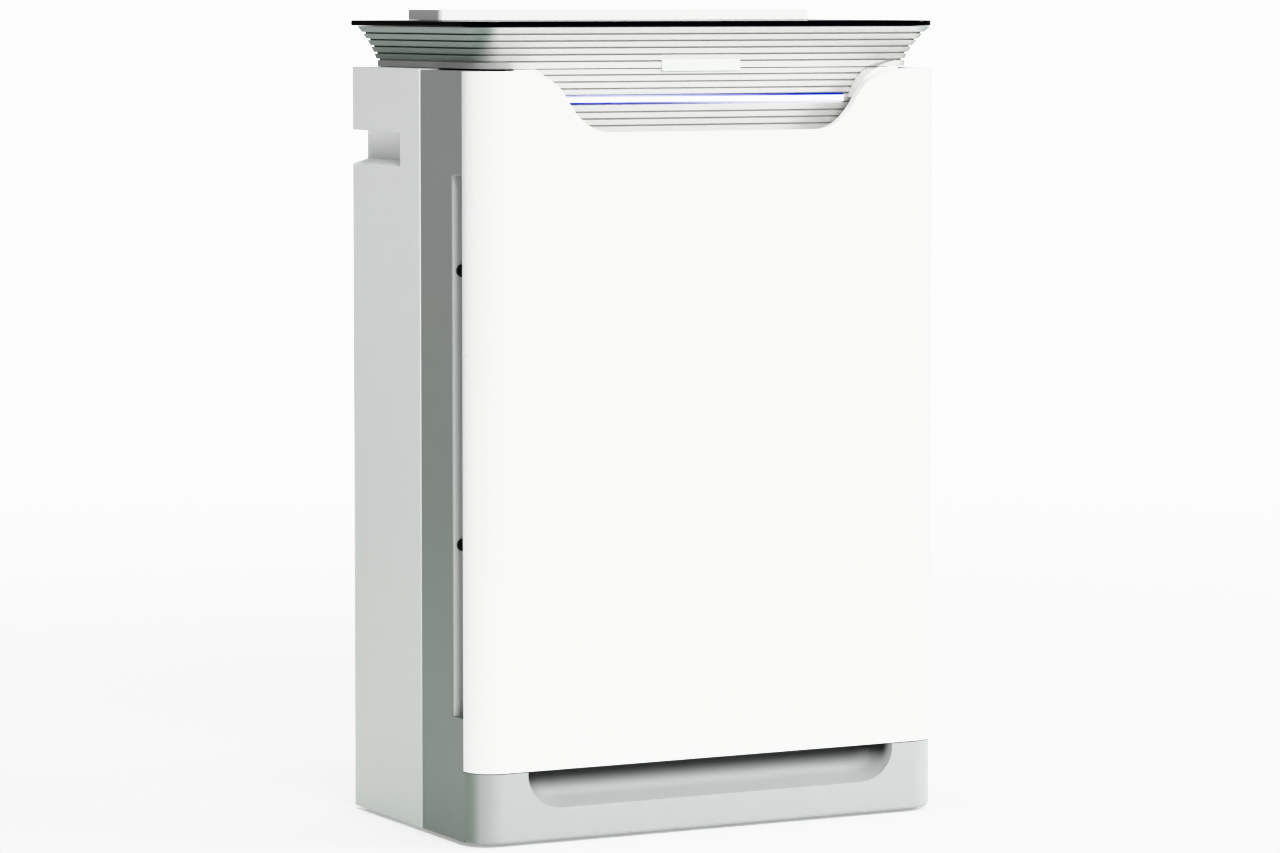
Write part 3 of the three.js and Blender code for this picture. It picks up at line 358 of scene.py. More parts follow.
def round_plan(half, front, back, front_radius, back_radius, steps=12):
    """A plan outline that is the same left and right, with rounded corners."""
    return [
        *arc((-half + front_radius, front + front_radius), front_radius, 180, 270, steps),
        *arc((half - front_radius, front + front_radius), front_radius, 270, 360, steps),
        *arc((half - back_radius, back - back_radius), back_radius, 0, 90, steps),
        *arc((-half + back_radius, back - back_radius), back_radius, 90, 180, steps),
    ]


# ---------------------------------------------------------------- material tools
class Value:
    """A number or colour somewhere in a material. Sums and products add their Math nodes."""

    def __init__(self, shader, socket):
        self.shader = shader
        self.socket = socket

    def maths(self, operation, first, second):
        return self.shader.node("ShaderNodeMath", {"operation": operation}, {0: first, 1: second})

    def __add__(self, other):
        return self.maths("ADD", self, other)

    def __radd__(self, other):
        return self.maths("ADD", other, self)

    def __sub__(self, other):
        return self.maths("SUBTRACT", self, other)

    def __rsub__(self, other):
        return self.maths("SUBTRACT", other, self)

    def __mul__(self, other):
        return self.maths("MULTIPLY", self, other)

    def __rmul__(self, other):
        return self.maths("MULTIPLY", other, self)

    def __truediv__(self, other):
        return self.maths("DIVIDE", self, other)

    def __abs__(self):
        return self.maths("ABSOLUTE", self, 0)

    def above(self, edge, soft):
        """0 below an edge and 1 above it, softly."""
        ramp = {"From Min": edge - soft, "From Max": edge + soft, "Value": self}
        return self.shader.node("ShaderNodeMapRange", {"interpolation_type": "SMOOTHSTEP"}, ramp)

    def below(self, edge, soft):
        """1 below an edge and 0 above it, softly."""
        return 1 - self.above(edge, soft)

    def either(self, other):
        """The larger of two values."""
        return self.maths("MAXIMUM", self, other)


class Shader:
    """A material and its nodes."""

    def __init__(self, name, **constants):
        self.material = bpy.data.materials.new(name)
        self.material.use_nodes = True
        self.nodes = self.material.node_tree.nodes
        self.links = self.material.node_tree.links
        self.surface = self.nodes["Principled BSDF"]
        for socket, value in constants.items():
            self.surface.inputs[socket.replace("_", " ")].default_value = value
        place_of = self.nodes.new("ShaderNodeTexCoord")
        self.place = Value(self, place_of.outputs["Object"])
        apart = self.nodes.new("ShaderNodeSeparateXYZ")
        self.links.new(place_of.outputs["Object"], apart.inputs[0])
        self.x, self.y, self.z = (Value(self, socket) for socket in apart.outputs)

    def node(self, kind, settings=None, sockets=None, output=0):
        """A node with its settings and what its sockets are fed, as the value it gives."""
        made = self.nodes.new(kind)
        for name, value in (settings or {}).items():
            if name == "stops":
                for stop, (at, tone) in zip(made.color_ramp.elements, value):
                    stop.position = at
                    stop.color = (*tone, 1)
            else:
                setattr(made, name, value)
        for name, value in (sockets or {}).items():
            self.feed(made.inputs[name], value)
        return Value(self, made.outputs[output])

    def feed(self, socket, value):
        """Links a value to a socket, or sets a constant on it."""
        if isinstance(value, Value):
            self.links.new(value.socket, socket)
        elif hasattr(value, "__len__") and len(value) == 3 and len(socket.default_value) == 4:
            socket.default_value = (*value, 1)
        else:
            socket.default_value = value

    def noise(self, size, detail=3, roughness=0.5, stretch=(1, 1, 1)):
        """Noise from 0 to 1 with features of a size in metres, drawn out along the axes."""
        at = self.node("ShaderNodeMapping", None, {"Vector": self.place, "Scale": stretch})
        sockets = {"Vector": at, "Scale": 1 / size, "Detail": detail, "Roughness": roughness}
        return self.node("ShaderNodeTexNoise", None, sockets)

    def cells(self, size, feature="F1", output=0):
        """Distance to the cells of a size in metres."""
        return self.node("ShaderNodeTexVoronoi", {"feature": feature},
                         {"Vector": self.place, "Scale": 1 / size}, output)

    def mix(self, first, second, share):
        """One colour turning into another."""
        sockets = {"Factor": share, 6: first, 7: second}
        return self.node("ShaderNodeMix", {"data_type": "RGBA", "clamp_factor": True}, sockets, 2)

    def bump(self, height, distance, strength=1.0):
        """Feeds a height to the surface's normal."""
        normal = self.node("ShaderNodeBump", None,
                           {"Height": height, "Distance": distance, "Strength": strength})
        self.feed(self.surface.inputs["Normal"], normal)

    def wave(self, run, pitch):
        """A sine along a value, with a pitch in metres."""
        return self.node("ShaderNodeMath", {"operation": "SINE"}, {0: run * (math.tau / pitch)})

    def away(self, x=0, y=0):
        """Distance from an upright line."""
        flat = self.node("ShaderNodeCombineXYZ", None, {"X": self.x - x, "Y": self.y - y})
        return self.node("ShaderNodeVectorMath", {"operation": "LENGTH"}, {0: flat}, 1)

    def finish(self, first, second, share, roughness, spread, by=None, **values):
        """The finished material: one colour turning into another, and an uneven roughness."""
        rough = roughness + spread * (share if by is None else by)
        return self.show(Base_Color=self.mix(first, second, share), Roughness=rough, **values)

    def show(self, **values):
        """Feeds the surface's sockets, and gives the finished material."""
        for socket, value in values.items():
            self.feed(self.surface.inputs[socket.replace("_", " ")], value)
        return self.material


def shade_of(tone, share):
    """A colour made lighter or darker."""
    return tuple(min(1.0, part * share) for part in tone)


# ---------------------------------------------------------------- finishes
def moulding(name, tone, roughness, grain=0.35, depth=0.02, low=None, sides=None, shade=None, ledge=None,
             coat=0.0):
    """Moulded plastic: a fine spark grain, faint flow marks and an uneven gloss.

    low is the painted shade that its sides take towards the floor, darker and tinted green as a painted
    reflection, and sides the painted shade, tinted green, that they take beyond a distance from the middle
    and over a height.
    shade is how far back and how high the painted shade in a hollow starts, and its half width, and ledge is
    the place and the half width of a painted highlight on a ledge."""
    made = Shader(name, Coat_Weight=coat, Coat_Roughness=0.12, IOR=1.49)
    flow = made.noise(90 * MM, 2, 0.5, (1, 1, 0.35))
    cloud = made.noise(14 * MM, 4)
    share = 0.6 * flow + 0.4 * cloud
    base = made.mix(shade_of(tone, 0.965), shade_of(tone, 1.03), share)
    if low:
        # Painted shade: the sides grow darker and greener towards the floor.
        base = made.mix(base, low, made.z.below(0.30, 0.34) * abs(made.x).above(0.204, 3 * MM))
    if ledge:
        at, across = ledge
        # Painted highlight: a paler strip stands in for the light on the slot's ledge.
        ledge_highlight = abs(made.y - at).below(1.5 * MM, 0.5 * MM) * abs(made.x).below(across, 0.4 * MM)
        base = made.mix(base, shade_of(tone, 2.3), ledge_highlight)
    if shade:
        deep, rise, across = shade
        hollow = made.y.above(deep, 4 * MM) * abs(made.x).below(across, 2 * MM)
        hollow = hollow * made.z.above(rise, 8 * MM) * made.z.below(rise + 20 * MM, MM)
        base = made.mix(base, shade_of(tone, 0.08), hollow)
    if sides:
        # Painted shade, tinted green, on the sides beyond a distance from the middle and over a height.
        side_shade, across, rise = sides
        base = made.mix(base, side_shade, abs(made.x).above(across, 7 * MM) * made.z.above(rise, 0.3 * MM))
    fine = made.noise(grain * MM, 2, 0.6)
    pits = made.cells(grain * 2.2 * MM)
    made.bump(0.6 * fine + 0.4 * pits, depth * MM)
    worn = made.noise(40 * MM, 5, 0.62)
    return made.show(Base_Color=base, Roughness=roughness - 0.05 + 0.10 * worn)


def white_gloss(colours):
    """The panel's smooth white moulding."""
    return moulding("white gloss moulding", colours.white, 0.28, grain=1.6, depth=0.006, coat=0.25)


def rubber():
    """Black rubber with a dusty bloom."""
    made = Shader("black rubber", IOR=1.5)
    bloom = made.noise(3 * MM, 5, 0.7)
    made.bump(made.noise(0.3 * MM, 2), 0.03 * MM)
    return made.finish((0.012, 0.012, 0.012), (0.045, 0.045, 0.043), bloom, 0.6, 0.25)


def steel(name, tone, roughness=0.3):
    """Plated steel with fine scratches."""
    made = Shader(name, Metallic=1.0)
    scratch = made.noise(0.5 * MM, 3, 0.6, (1, 1, 12))
    spangle = made.cells(4 * MM)
    made.bump(scratch, 0.01 * MM)
    return made.finish(shade_of(tone, 0.85), shade_of(tone, 1.1), spangle, roughness - 0.06, 0.14, scratch)


def black_glass(keys, key_y, key_radius):
    """Back-painted black glass with plain printed rings for touch keys."""
    made = Shader("black glass", Specular_IOR_Level=0.1, IOR=1.52)
    printed = None
    line = 0.35 * MM
    for x in keys:
        away = made.away(x, key_y)
        mark = abs(away - key_radius).below(line, 0.1 * MM).either(away.below(1.1 * MM, 0.15 * MM))
        printed = mark if printed is None else printed.either(mark)
    smear = made.noise(30 * MM, 5, 0.6)
    return made.finish((0.002, 0.002, 0.0025), (0.55, 0.57, 0.58), printed, 0.04, 0.08, smear)


def lit_bar(colours, low, high):
    """A frosted diffuser, lit white in the middle and blue along its edges."""
    made = Shader("lit diffuser", Emission_Strength=1.9, IOR=1.49, Specular_IOR_Level=0.1)
    centre, half = (low.z + high.z) / 2, (high.z - low.z) / 2
    across = (made.z - centre) / half
    drift = made.noise(60 * MM, 3, 0.5, (1, 0.05, 0.05))
    right = made.x.above(0.02, 0.09)
    upper = across.above(0.62, 0.05) * (0.7 + 0.3 * right)
    lower = across.below(-0.62, 0.05) * (1.0 - 0.75 * right)
    edge = (upper.either(lower)) * (0.75 + 0.5 * drift)
    glow = made.mix(colours.glow, colours.blue, edge)
    return made.finish((0.9, 0.9, 0.9), (0.0, 0.004, 0.06), edge, 0.3, 0.1, drift, Emission_Color=glow)


def fibre_paper():
    """Pleated filter paper: felted fibres and a soft grey dust."""
    made = Shader("filter paper", IOR=1.4)
    fibres = made.noise(0.7 * MM, 4, 0.7, (1, 1, 0.18))
    dust = made.noise(22 * MM, 5, 0.6)
    made.bump(fibres, 0.12 * MM)
    share = 0.5 * fibres + 0.5 * dust
    return made.finish((0.66, 0.65, 0.60), (0.86, 0.85, 0.81), share, 0.85, 0.1, fibres)


def filter_card():
    """White coated board with a faint grain."""
    made = Shader("filter board", IOR=1.45)
    grain = made.noise(1.2 * MM, 4, 0.6, (1, 1, 0.3))
    scuff = made.noise(18 * MM, 6, 0.65)
    made.bump(grain, 0.04 * MM)
    share = 0.4 * grain + 0.6 * scuff
    return made.finish((0.70, 0.70, 0.67), (0.80, 0.80, 0.78), share, 0.5, 0.2, scuff)


def woven_mesh(pitch=1.1 * MM):
    """Black nylon mesh: threads crossing at a pitch, open in between."""
    made = Shader("nylon mesh", IOR=1.5)
    across, down = (made.wave(run, pitch) * 0.5 + 0.5 for run in (made.x, made.z))
    weave = across.either(down)
    made.bump(weave, 0.15 * MM)
    return made.finish((0.008, 0.008, 0.009), (0.05, 0.05, 0.052), weave, 0.55, 0.2,
                       Alpha=weave.above(0.62, 0.10))


def carbon():
    """Carbon granules in an open honeycomb."""
    made = Shader("carbon granules", IOR=1.5)
    grit = made.cells(1.6 * MM)
    comb = made.cells(7 * MM, "DISTANCE_TO_EDGE")
    wall = comb.below(0.06, 0.03)
    made.bump(grit + 0.8 * wall, 0.8 * MM)
    black = made.mix((0.010, 0.010, 0.010), (0.05, 0.05, 0.05), grit)
    return made.finish(black, (0.32, 0.30, 0.26), wall, 0.8, -0.2, grit)


def tape():
    """Woven pull tape."""
    made = Shader("pull tape", IOR=1.45, Sheen_Weight=0.3)
    rows = made.wave(made.x + made.z, 0.9 * MM)
    fuzz = made.noise(0.6 * MM, 3)
    made.bump(0.5 * rows + fuzz, 0.12 * MM)
    share = 0.5 * rows + 0.5 * fuzz
    return made.finish((0.02, 0.045, 0.08), (0.06, 0.12, 0.19), share, 0.85, 0.1, fuzz)


def circuit_board():
    """Green solder mask with tracks and pads."""
    made = Shader("circuit board", IOR=1.5, Coat_Weight=0.2)
    blocks = made.cells(6 * MM, "DISTANCE_TO_EDGE")
    track = blocks.below(0.05, 0.02)
    pads = made.cells(3.2 * MM).below(0.17, 0.03)
    base = made.mix((0.010, 0.085, 0.030), (0.020, 0.18, 0.060), track)
    made.bump(track + pads, 0.05 * MM)
    return made.finish(base, (0.62, 0.60, 0.52), pads, 0.4, -0.15, Metallic=pads * 0.9)


def quartz():
    """Clear lamp tube with a faint violet bloom."""
    made = Shader("quartz tube", IOR=1.46, Coat_Weight=0.6)
    bloom = made.noise(25 * MM, 3)
    return made.finish((0.62, 0.64, 0.78), (0.86, 0.88, 0.95), bloom, 0.06, 0.08,
                       Alpha=0.55 + 0.2 * bloom)


# ---------------------------------------------------------------- operators
class PurifierPart:
    """What every part's operator shares: the settings and the undo flag."""
    bl_options = {"REGISTER", "UNDO"}

    def settings(self, context):
        """The settings of the shells, the head and the colours."""
        scene = context.scene
        return scene.purifier_shell, scene.purifier_head, scene.purifier_colours


def notch_points(shell, top, crown, grow=0.0):
    """The notch in the panel's top edge, seen from the front, closed above it."""
    floor = top - shell.notch_depth - grow
    centre = top - shell.notch_depth / 2 + 0.4 * grow
    high_x, waist_x, low_x = shell.notch_top + grow, shell.notch_waist + grow, shell.notch_floor + grow / 2
    waist = Vector((waist_x, centre))
    floor_pull, top_pull = 16 * MM, 26 * MM  # how far the curve runs level at its floor and its top
    down, up = Vector((7, 13)) * MM, Vector((9, 16)) * MM  # and how it leaves the waist
    return mirrored([
        *curve((low_x, floor), (low_x + floor_pull, floor), waist - down, waist, 14),
        *curve(waist, waist + up, (high_x - top_pull, top), (high_x, top), 18),
        (high_x, top),
        (high_x, crown),
    ])


class PURIFIER_OT_front_panel(PurifierPart, bpy.types.Operator):
    """Front panel with rounded upright corners, a notch and a turned-back rim"""
    bl_idname = "purifier.front_panel"
    bl_label = "Front Panel"

    def execute(self, context):
        shell, _, colours = self.settings(context)
        low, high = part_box("front_panel")
        beyond = 6 * MM
        wall = shell.wall
        front, back, top = low.y, high.y, high.z

        panel = cuboid("panel", low, high)
        round_edges(panel, shell.corner, 20, upright_before(front + MM))
        hollow = cuboid("hollow", low + Vector((wall, wall, wall)), high - Vector((wall, -beyond, wall)))
        round_edges(hollow, shell.corner - wall, 20, upright_before(front + 2 * wall))
        rim = [(x, front + wall / 2, z) for x, z in notch_points(shell, top, top + beyond, wall)]
        rim = outline_solid("rim", rim, (0, shell.rim - wall / 2, 0))
        trim(rim, cuboid("rim_top", low, (high.x, back, top)), "INTERSECT")
        trim(panel, hollow)
        trim(panel, rim, "UNION")
        notch = [(x, front - beyond, z) for x, z in notch_points(shell, top, top + beyond)]
        trim(panel, outline_solid("notch", notch, (0, back - front + 2 * beyond, 0)))
        behind = cuboid("behind", (low.x + wall, front + shell.rim, top - 3 * wall),
                        (high.x - wall, back + beyond, top + beyond))
        round_edges(behind, shell.corner - shell.rim, 12, upright_before(front + shell.rim + MM))
        trim(panel, behind)
        corner_start = high.x - shell.corner - MM

        def face_edge(edge):
            spot = middle(edge)
            at_end = spot.z > top - 2 * NEAR or spot.z < low.z + 2 * NEAR
            at_corner = min(abs(at.x) for at in (spot, *(v.co for v in edge.verts))) > corner_start
            on_face = spot.y < front + NEAR or (
                at_end and at_corner and self.on_skin(edge, low, high, shell))
            return sharp(edge) and on_face and not along(edge, 2)

        round_edges(panel, shell.edge, 3, face_edge)
        place(smooth(panel), white_gloss(colours), "white_shell", "front_panel")
        return {"FINISHED"}

    def on_skin(self, edge, low, high, shell):
        """True if an edge lies on the panel's outer skin."""
        spot = middle(edge)
        centre = Vector((high.x - shell.corner, low.y + shell.corner))
        away = Vector((abs(spot.x), spot.y)) - centre
        if away.y > 0:
            return abs(spot.x) > high.x - NEAR
        return away.length > shell.corner - 0.5 * MM


class PURIFIER_OT_middle_frame(PurifierPart, bpy.types.Operator):
    """Middle frame with the side slots, and the base with its scoop"""
    bl_idname = "purifier.middle_frame"
    bl_label = "Middle Frame and Base"

    def execute(self, context):
        shell, _, colours = self.settings(context)
        low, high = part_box("middle_frame")
        panel_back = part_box("front_panel")[1].y
        beyond = 6 * MM
        front = low.y

        body = cad_copy("middle_frame", "frame_body")
        side = high.x
        joint = panel_back + 0.35 * MM  # where the base meets the frame
        trim(body, cuboid("toe_box", (low.x - beyond, front - beyond, low.z - beyond),
                          (side + beyond, joint, shell.base_top + beyond)))
        slot_back = panel_back + shell.slot_depth
        slot_head = high.z - shell.slot_drop

        def slot_edge(edge):
            spot = middle(edge)
            return sharp(edge) and abs(spot.x) > side - NEAR and (
                spot.y < slot_back + MM and shell.slot_foot - MM < spot.z < slot_head + MM)

        slot_rounding, base_rounding, scoop_rounding = 0.7 * MM, 0.6 * MM, 13 * MM
        round_edges(body, slot_rounding, 2, slot_edge)
        smooth(body)

        toe = cuboid("base", (low.x, front, low.z), (side, joint, shell.base_top))
        round_edges(toe, shell.corner, 20, upright_before(front + MM))
        crown = shell.base_top + 3 * beyond
        scoop_back = front + shell.scoop_depth
        scoop = cuboid("scoop", (-shell.scoop_half, front - beyond, shell.scoop_floor),
                       (shell.scoop_half, scoop_back, crown))
        round_edges(scoop, shell.scoop_corner, 16, lambda e: along(e, 1) and middle(e).z < shell.base_top)
        with editing(scoop):
            pick(scoop, "VERT", lambda v: v.co.y > front)
            taper = (0.94, 1, 0.66)
            bpy.ops.transform.resize(value=taper, center_override=(0, front, crown))
        round_edges(scoop, scoop_rounding, 10,
                    lambda e: all(v.co.y > scoop_back - MM for v in e.verts) and middle(e).z < crown - beyond)
        trim(toe, scoop)
        round_edges(toe, shell.base_chamfer, 4,
                    lambda e: sharp(e) and middle(e).z < low.z + NEAR and middle(e).y < panel_back)
        round_edges(toe, base_rounding, 2,
                    lambda e: sharp(e) and middle(e).y < front + NEAR and not along(e, 2)
                    and middle(e).z > low.z + 2 * shell.base_chamfer)
        smooth(toe)
        whole = joined(body, toe)
        whole.name = "middle_frame_and_base"
        # Painted shade darkens the sides towards the floor and the scoop under the panel; a painted highlight
        # lights the slot's ledge.
        finish = moulding("grey moulding", colours.grey, 0.40, grain=0.5, depth=0.012,
                          low=colours.grey_foot, coat=0.1,
                          shade=(front + 5 * MM, shell.base_top - 12 * MM, shell.scoop_half),
                          ledge=(slot_back, side - 0.8 * MM))
        place(whole, finish, "grey_shell", "middle_frame")
        return {"FINISHED"}


class PURIFIER_OT_rear_shell(PurifierPart, bpy.types.Operator):
    """Rear shell with its handle pockets"""
    bl_idname = "purifier.rear_shell"
    bl_label = "Rear Shell"

    def execute(self, context):
        shell, _, colours = self.settings(context)
        low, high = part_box("rear_shell")
        piece = cad_copy("rear_shell", "rear_casing")

        def seam_edge(edge):
            spot = middle(edge)
            outside = abs(spot.x) > high.x - NEAR or spot.z > high.z - NEAR
            return sharp(edge) and spot.y < low.y + NEAR and outside

        seam_rounding = 1.2 * MM
        round_edges(piece, seam_rounding, 3, seam_edge)
        smooth(piece)
        # Painted shade darkens the sides towards the floor.
        finish = moulding("pale moulding", colours.pale, 0.42, grain=0.5, depth=0.012,
                          low=colours.pale_foot, coat=0.1)
        place(piece, finish, "pale_shell", "rear_shell")
        return {"FINISHED"}


class PURIFIER_OT_head(PurifierPart, bpy.types.Operator):
    """Ribbed head: the flare under the glass, the ribbed fascia behind the notch and its smooth rim"""
    bl_idname = "purifier.head"
    bl_label = "Ribbed Head"

    def execute(self, context):
        shell, head, colours = self.settings(context)
        low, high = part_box("collar")
        _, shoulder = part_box("rear_shell")
        surround_low, surround_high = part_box("fascia_surround")
        bar_low, bar_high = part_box("light_bar")
        bar_high.x += head.bar_lap
        shoulder_z, crown = shoulder.z, high.z
        band_top = shoulder_z + head.band
        fascia = surround_high.y + CLEARANCE
        neck_half = shoulder.x - head.neck_inset
        neck_back = shoulder.y - head.neck_setback
        foot = shoulder_z + 0.4 * MM

        def section(z, inset):
            """Half width, front and back of the head at a height."""
            share = max(0.0, (z - shoulder_z) / (crown - shoulder_z)) ** head.flare_power
            half = neck_half + (high.x - neck_half) * share
            front = fascia + (low.y - fascia) * share
            rear = neck_back + (high.y - neck_back) * share
            return half - inset, front + inset, rear - inset

        half_gap = head.gap / 2
        rounding = head.rounding
        levels = [(foot, head.groove), (band_top - half_gap, head.groove)]
        for rib in range(head.ribs):
            start = band_top + rib * head.pitch + half_gap
            end = min(start - half_gap + head.pitch, crown) - half_gap
            edge = [(0.06 * MM, 0.35 * rounding), (0.35 * rounding, 0.08 * rounding), (rounding, 0.0)]
            levels.append((start, head.groove))
            levels += [(start + rise, inset) for rise, inset in edge]
            levels += [(end - drop, inset) for drop, inset in reversed(edge)]
            if rib + 1 < head.ribs:
                levels.append((end, head.groove))
        levels.append((crown, 0.2 * MM))
        collar = self.tube("ribbed_head", head, section, levels, shell.wall + head.groove)
        band = self.band(shell, head, section, fascia, foot, band_top - half_gap, bar_high.z)
        collar = joined(collar, band, *self.fascia(shell, head, fascia, band_top, bar_low, bar_high))
        smooth(collar, 40)
        # The ribbed head's sides take a painted shade, tinted green.
        finish = moulding("pearl ribbed moulding", colours.rib, 0.34, grain=0.8, depth=0.004, coat=0.2,
                          sides=(colours.rib_side_shade, head.side_shade_start, band_top))
        place(collar, finish, "ribbed_trim", "collar")
        self.surround(shell, head, surround_low, surround_high, bar_high.z, colours)
        return {"FINISHED"}

    def opening(self, shell, top, bend, foot, lip):
        """The right half of the S-shaped opening in front of the fascia, from its foot up."""
        waist = shell.notch_waist + 6 * MM
        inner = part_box("fascia_surround")[1].x - shell.wall
        return [
            (lip, foot), (lip, bend - 5 * MM), (waist + 3 * MM, bend - 2 * MM),
            *curve((waist, bend), (waist + 4 * MM, bend + 14 * MM), (inner - 22 * MM, top - 3 * MM),
                   (inner, top - MM), 24),
            (inner, top - MM),
        ]

    def band(self, shell, head, section, fascia, bottom, top, bar_top):
        """The smooth band between the shoulder and the ribs, open in front of the fascia."""
        half, _, rear = section(bottom, 0)
        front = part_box("front_panel")[0].y + head.band_setback
        plan = round_plan(half, front, rear, head.band_radius, head.neck_radius * 0.7, 20)
        ring = outline_solid("smooth_band", [(x, y, bottom) for x, y in plan], (0, 0, top - bottom))
        bend = bar_top - 3 * MM
        right = self.opening(shell, top + head.gap / 2, bend, bend - 20 * MM, head.lip_end)
        right.append((right[-1][0], top + 9 * MM))
        points = [(x, front - MM, z) for x, z in mirrored(right)]
        trim(ring, outline_solid("opening", points, (0, fascia - front, 0)))
        inset = shell.wall + head.groove
        behind = fascia + 6 * MM  # clear of the fascia's rib bars
        inside = round_plan(half - inset, behind, rear - inset, head.neck_radius, head.neck_radius * 0.7)
        inside = [(x, y, bottom - MM) for x, y in inside]
        trim(ring, outline_solid("inside", inside, (0, 0, top - bottom + 2 * MM)))
        round_edges(ring, head.rounding, 3, lambda e: sharp(e, 1.2) and not along(e, 2) and (
            middle(e).z > top - NEAR or middle(e).y < front + NEAR))
        return ring

    def tube(self, name, head, section, levels, wall):
        """The head's wall: the outside is drawn up level by level, and the inside comes back down."""
        half, front, rear = section(levels[0][0], 0)
        plan = round_plan(half, front, rear, head.neck_radius, head.neck_radius * 0.7, 14)
        bpy.ops.mesh.primitive_circle_add(vertices=len(plan), radius=1, fill_type="NOTHING")
        piece = bpy.context.object
        piece.name = name
        for vertex, (x, y) in zip(piece.data.vertices, plan):
            vertex.co = (x, y, levels[0][0])
        inside = [(z, wall) for z, _ in reversed(levels[::6])]
        with editing(piece):
            bpy.ops.mesh.select_all(action="SELECT")
            z, was = levels[0][0], (half, front, rear)
            for next_z, inset in levels[1:] + inside:
                now = section(next_z, inset)
                bpy.ops.mesh.extrude_edges_move(TRANSFORM_OT_translate={"value": (0, 0, next_z - z)})
                scale = (now[0] / was[0], (now[2] - now[1]) / (was[2] - was[1]), 1)
                bpy.ops.transform.resize(value=scale, center_override=(0, was[1], next_z))
                bpy.ops.transform.translate(value=(0, now[1] - was[1], 0))
                z, was = next_z, now
            pick(piece, "EDGE", lambda e: e.is_boundary)
            bpy.ops.mesh.bridge_edge_loops()
            bpy.ops.mesh.select_all(action="SELECT")
            bpy.ops.mesh.normals_make_consistent(inside=False)
        return piece

    def fascia(self, shell, head, fascia, band_top, bar_low, bar_high):
        """Rib bars on a back plate behind the notch, leaving room for the light bar."""
        low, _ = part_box("fascia_surround")
        half = -low.x
        bottom, top = low.z, band_top - head.gap / 2
        below, above = bar_low.z - CLEARANCE, bar_high.z + CLEARANCE
        under = below - head.wide_rib
        upper_lines = [band_top - step * head.pitch for step in range(5)] + [above]
        lower_lines = [below, under, under - head.pitch, under - 2 * head.pitch, bottom]
        bars = []
        for lines in (upper_lines, lower_lines):
            bars += [self.rib_bar(head, fascia, (-half, half), span) for span in zip(lines[1:], lines)]
        for side in (-1, 1):
            ends = sorted((side * half, side * (bar_high.x + CLEARANCE)))
            bars.append(self.rib_bar(head, fascia, ends, (below, above)))
        for lower, upper in ((bottom, below), (above, top + 3 * MM)):
            bars.append(cuboid("back_plate", (-half, fascia + head.groove, lower),
                               (half, fascia + head.groove + 2 * shell.wall, upper)))
        return bars

    def rib_bar(self, head, front, across, span):
        """One rib of the fascia between two grooves, rounded along its front edges."""
        half_gap, depth = head.gap / 2, 2 * head.groove
        bar = cuboid("rib_bar", (across[0], front, span[0] + half_gap),
                     (across[1], front + depth, span[1] - half_gap))
        round_edges(bar, head.rounding, 3, lambda e: along(e, 0) and middle(e).y < front + MM)
        return bar

    def surround(self, shell, head, low, high, bar_top, colours):
        """The smooth rim that frames the fascia."""
        front, rear = low.y, high.y
        half = high.x
        lip_top = high.z + head.band - head.gap
        edge = self.opening(shell, lip_top, bar_top - 3 * MM, low.z + shell.wall, head.lip_end)
        edge = [point for point in edge if point[1] < high.z]
        right = [(half, low.z), (half, high.z), (edge[-1][0] + 0.4 * MM, high.z), *reversed(edge)]
        points = [(x, front, z) for x, z in mirrored(right)]
        piece = outline_solid("smooth_surround", points, (0, rear - front, 0))
        round_edges(piece, head.rounding, 3,
                    lambda e: sharp(e, 0.9) and middle(e).y < front + NEAR and middle(e).z < high.z - MM)
        smooth(piece, 35)
        place(piece, moulding("white inner rim", colours.white, 0.3, grain=1.2, depth=0.006, coat=0.2),
              "white_shell", "fascia_surround")


class PURIFIER_OT_lights(PurifierPart, bpy.types.Operator):
    """Light bar and display window"""
    bl_idname = "purifier.lights"
    bl_label = "Light Bar and Display Window"

    def execute(self, context):
        shell, head, colours = self.settings(context)
        low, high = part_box("light_bar")
        lap = Vector((head.bar_lap, 0, 0))
        bar = cuboid("diffuser_bar", low - lap, high + lap)
        round_edges(bar, shell.edge, 4, lambda e: along(e, 0) and middle(e).y < low.y + MM)
        place(smooth(bar), lit_bar(colours, low, high), "light_diffuser", "light_bar")
        low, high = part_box("display_window")
        proud, corner, edge = 1.5 * MM, 1.2 * MM, 0.35 * MM
        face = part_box("fascia_surround")[1].y - proud
        window = cuboid("display_lens", (low.x, face, low.z), high)
        round_edges(window, corner, 5, lambda e: along(e, 1))
        round_edges(window, edge, 2, lambda e: sharp(e) and middle(e).y < face + NEAR)
        finish = moulding("display window", colours.label, 0.22, grain=1.5, depth=0.003, coat=0.4)
        place(smooth(window), finish, "display_label", "display_window")
        return {"FINISHED"}


class PURIFIER_OT_top_glass(PurifierPart, bpy.types.Operator):
    """Black glass top with rounded corners and ground edges"""
    bl_idname = "purifier.top_glass"
    bl_label = "Glass Top"

    def execute(self, context):
        shell, _, _ = self.settings(context)
        low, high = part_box("top_glass")
        outlet_low, outlet_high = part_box("outlet_grille")
        plan = [(x, y, low.z) for x, y in round_plan(high.x, low.y, high.y, shell.corner, 3 * MM, 16)]
        glass = outline_solid("glass_plate", plan, (0, 0, high.z - low.z))
        margin = 3 * MM
        trim(glass, cuboid("opening", (outlet_low.x - margin, outlet_low.y - margin, low.z - MM),
                           (outlet_high.x + margin, outlet_high.y + margin, high.z + MM)))
        ground = 1.1 * MM
        round_edges(glass, ground, 4, lambda e: sharp(e, 1.2) and not along(e, 2) and (
            abs(middle(e).x) > outlet_high.x + 4 * margin or middle(e).y < outlet_low.y - 2 * margin
            or middle(e).y > outlet_high.y + 2 * margin))
        half_step, key_y, key_radius = 16 * MM, -70 * MM, 5 * MM
        keys = [side * step * half_step for side in (-1, 1) for step in (1, 3, 5)]
        place(smooth(glass), black_glass(keys, key_y, key_radius), "black_glass", "top_glass")
        return {"FINISHED"}


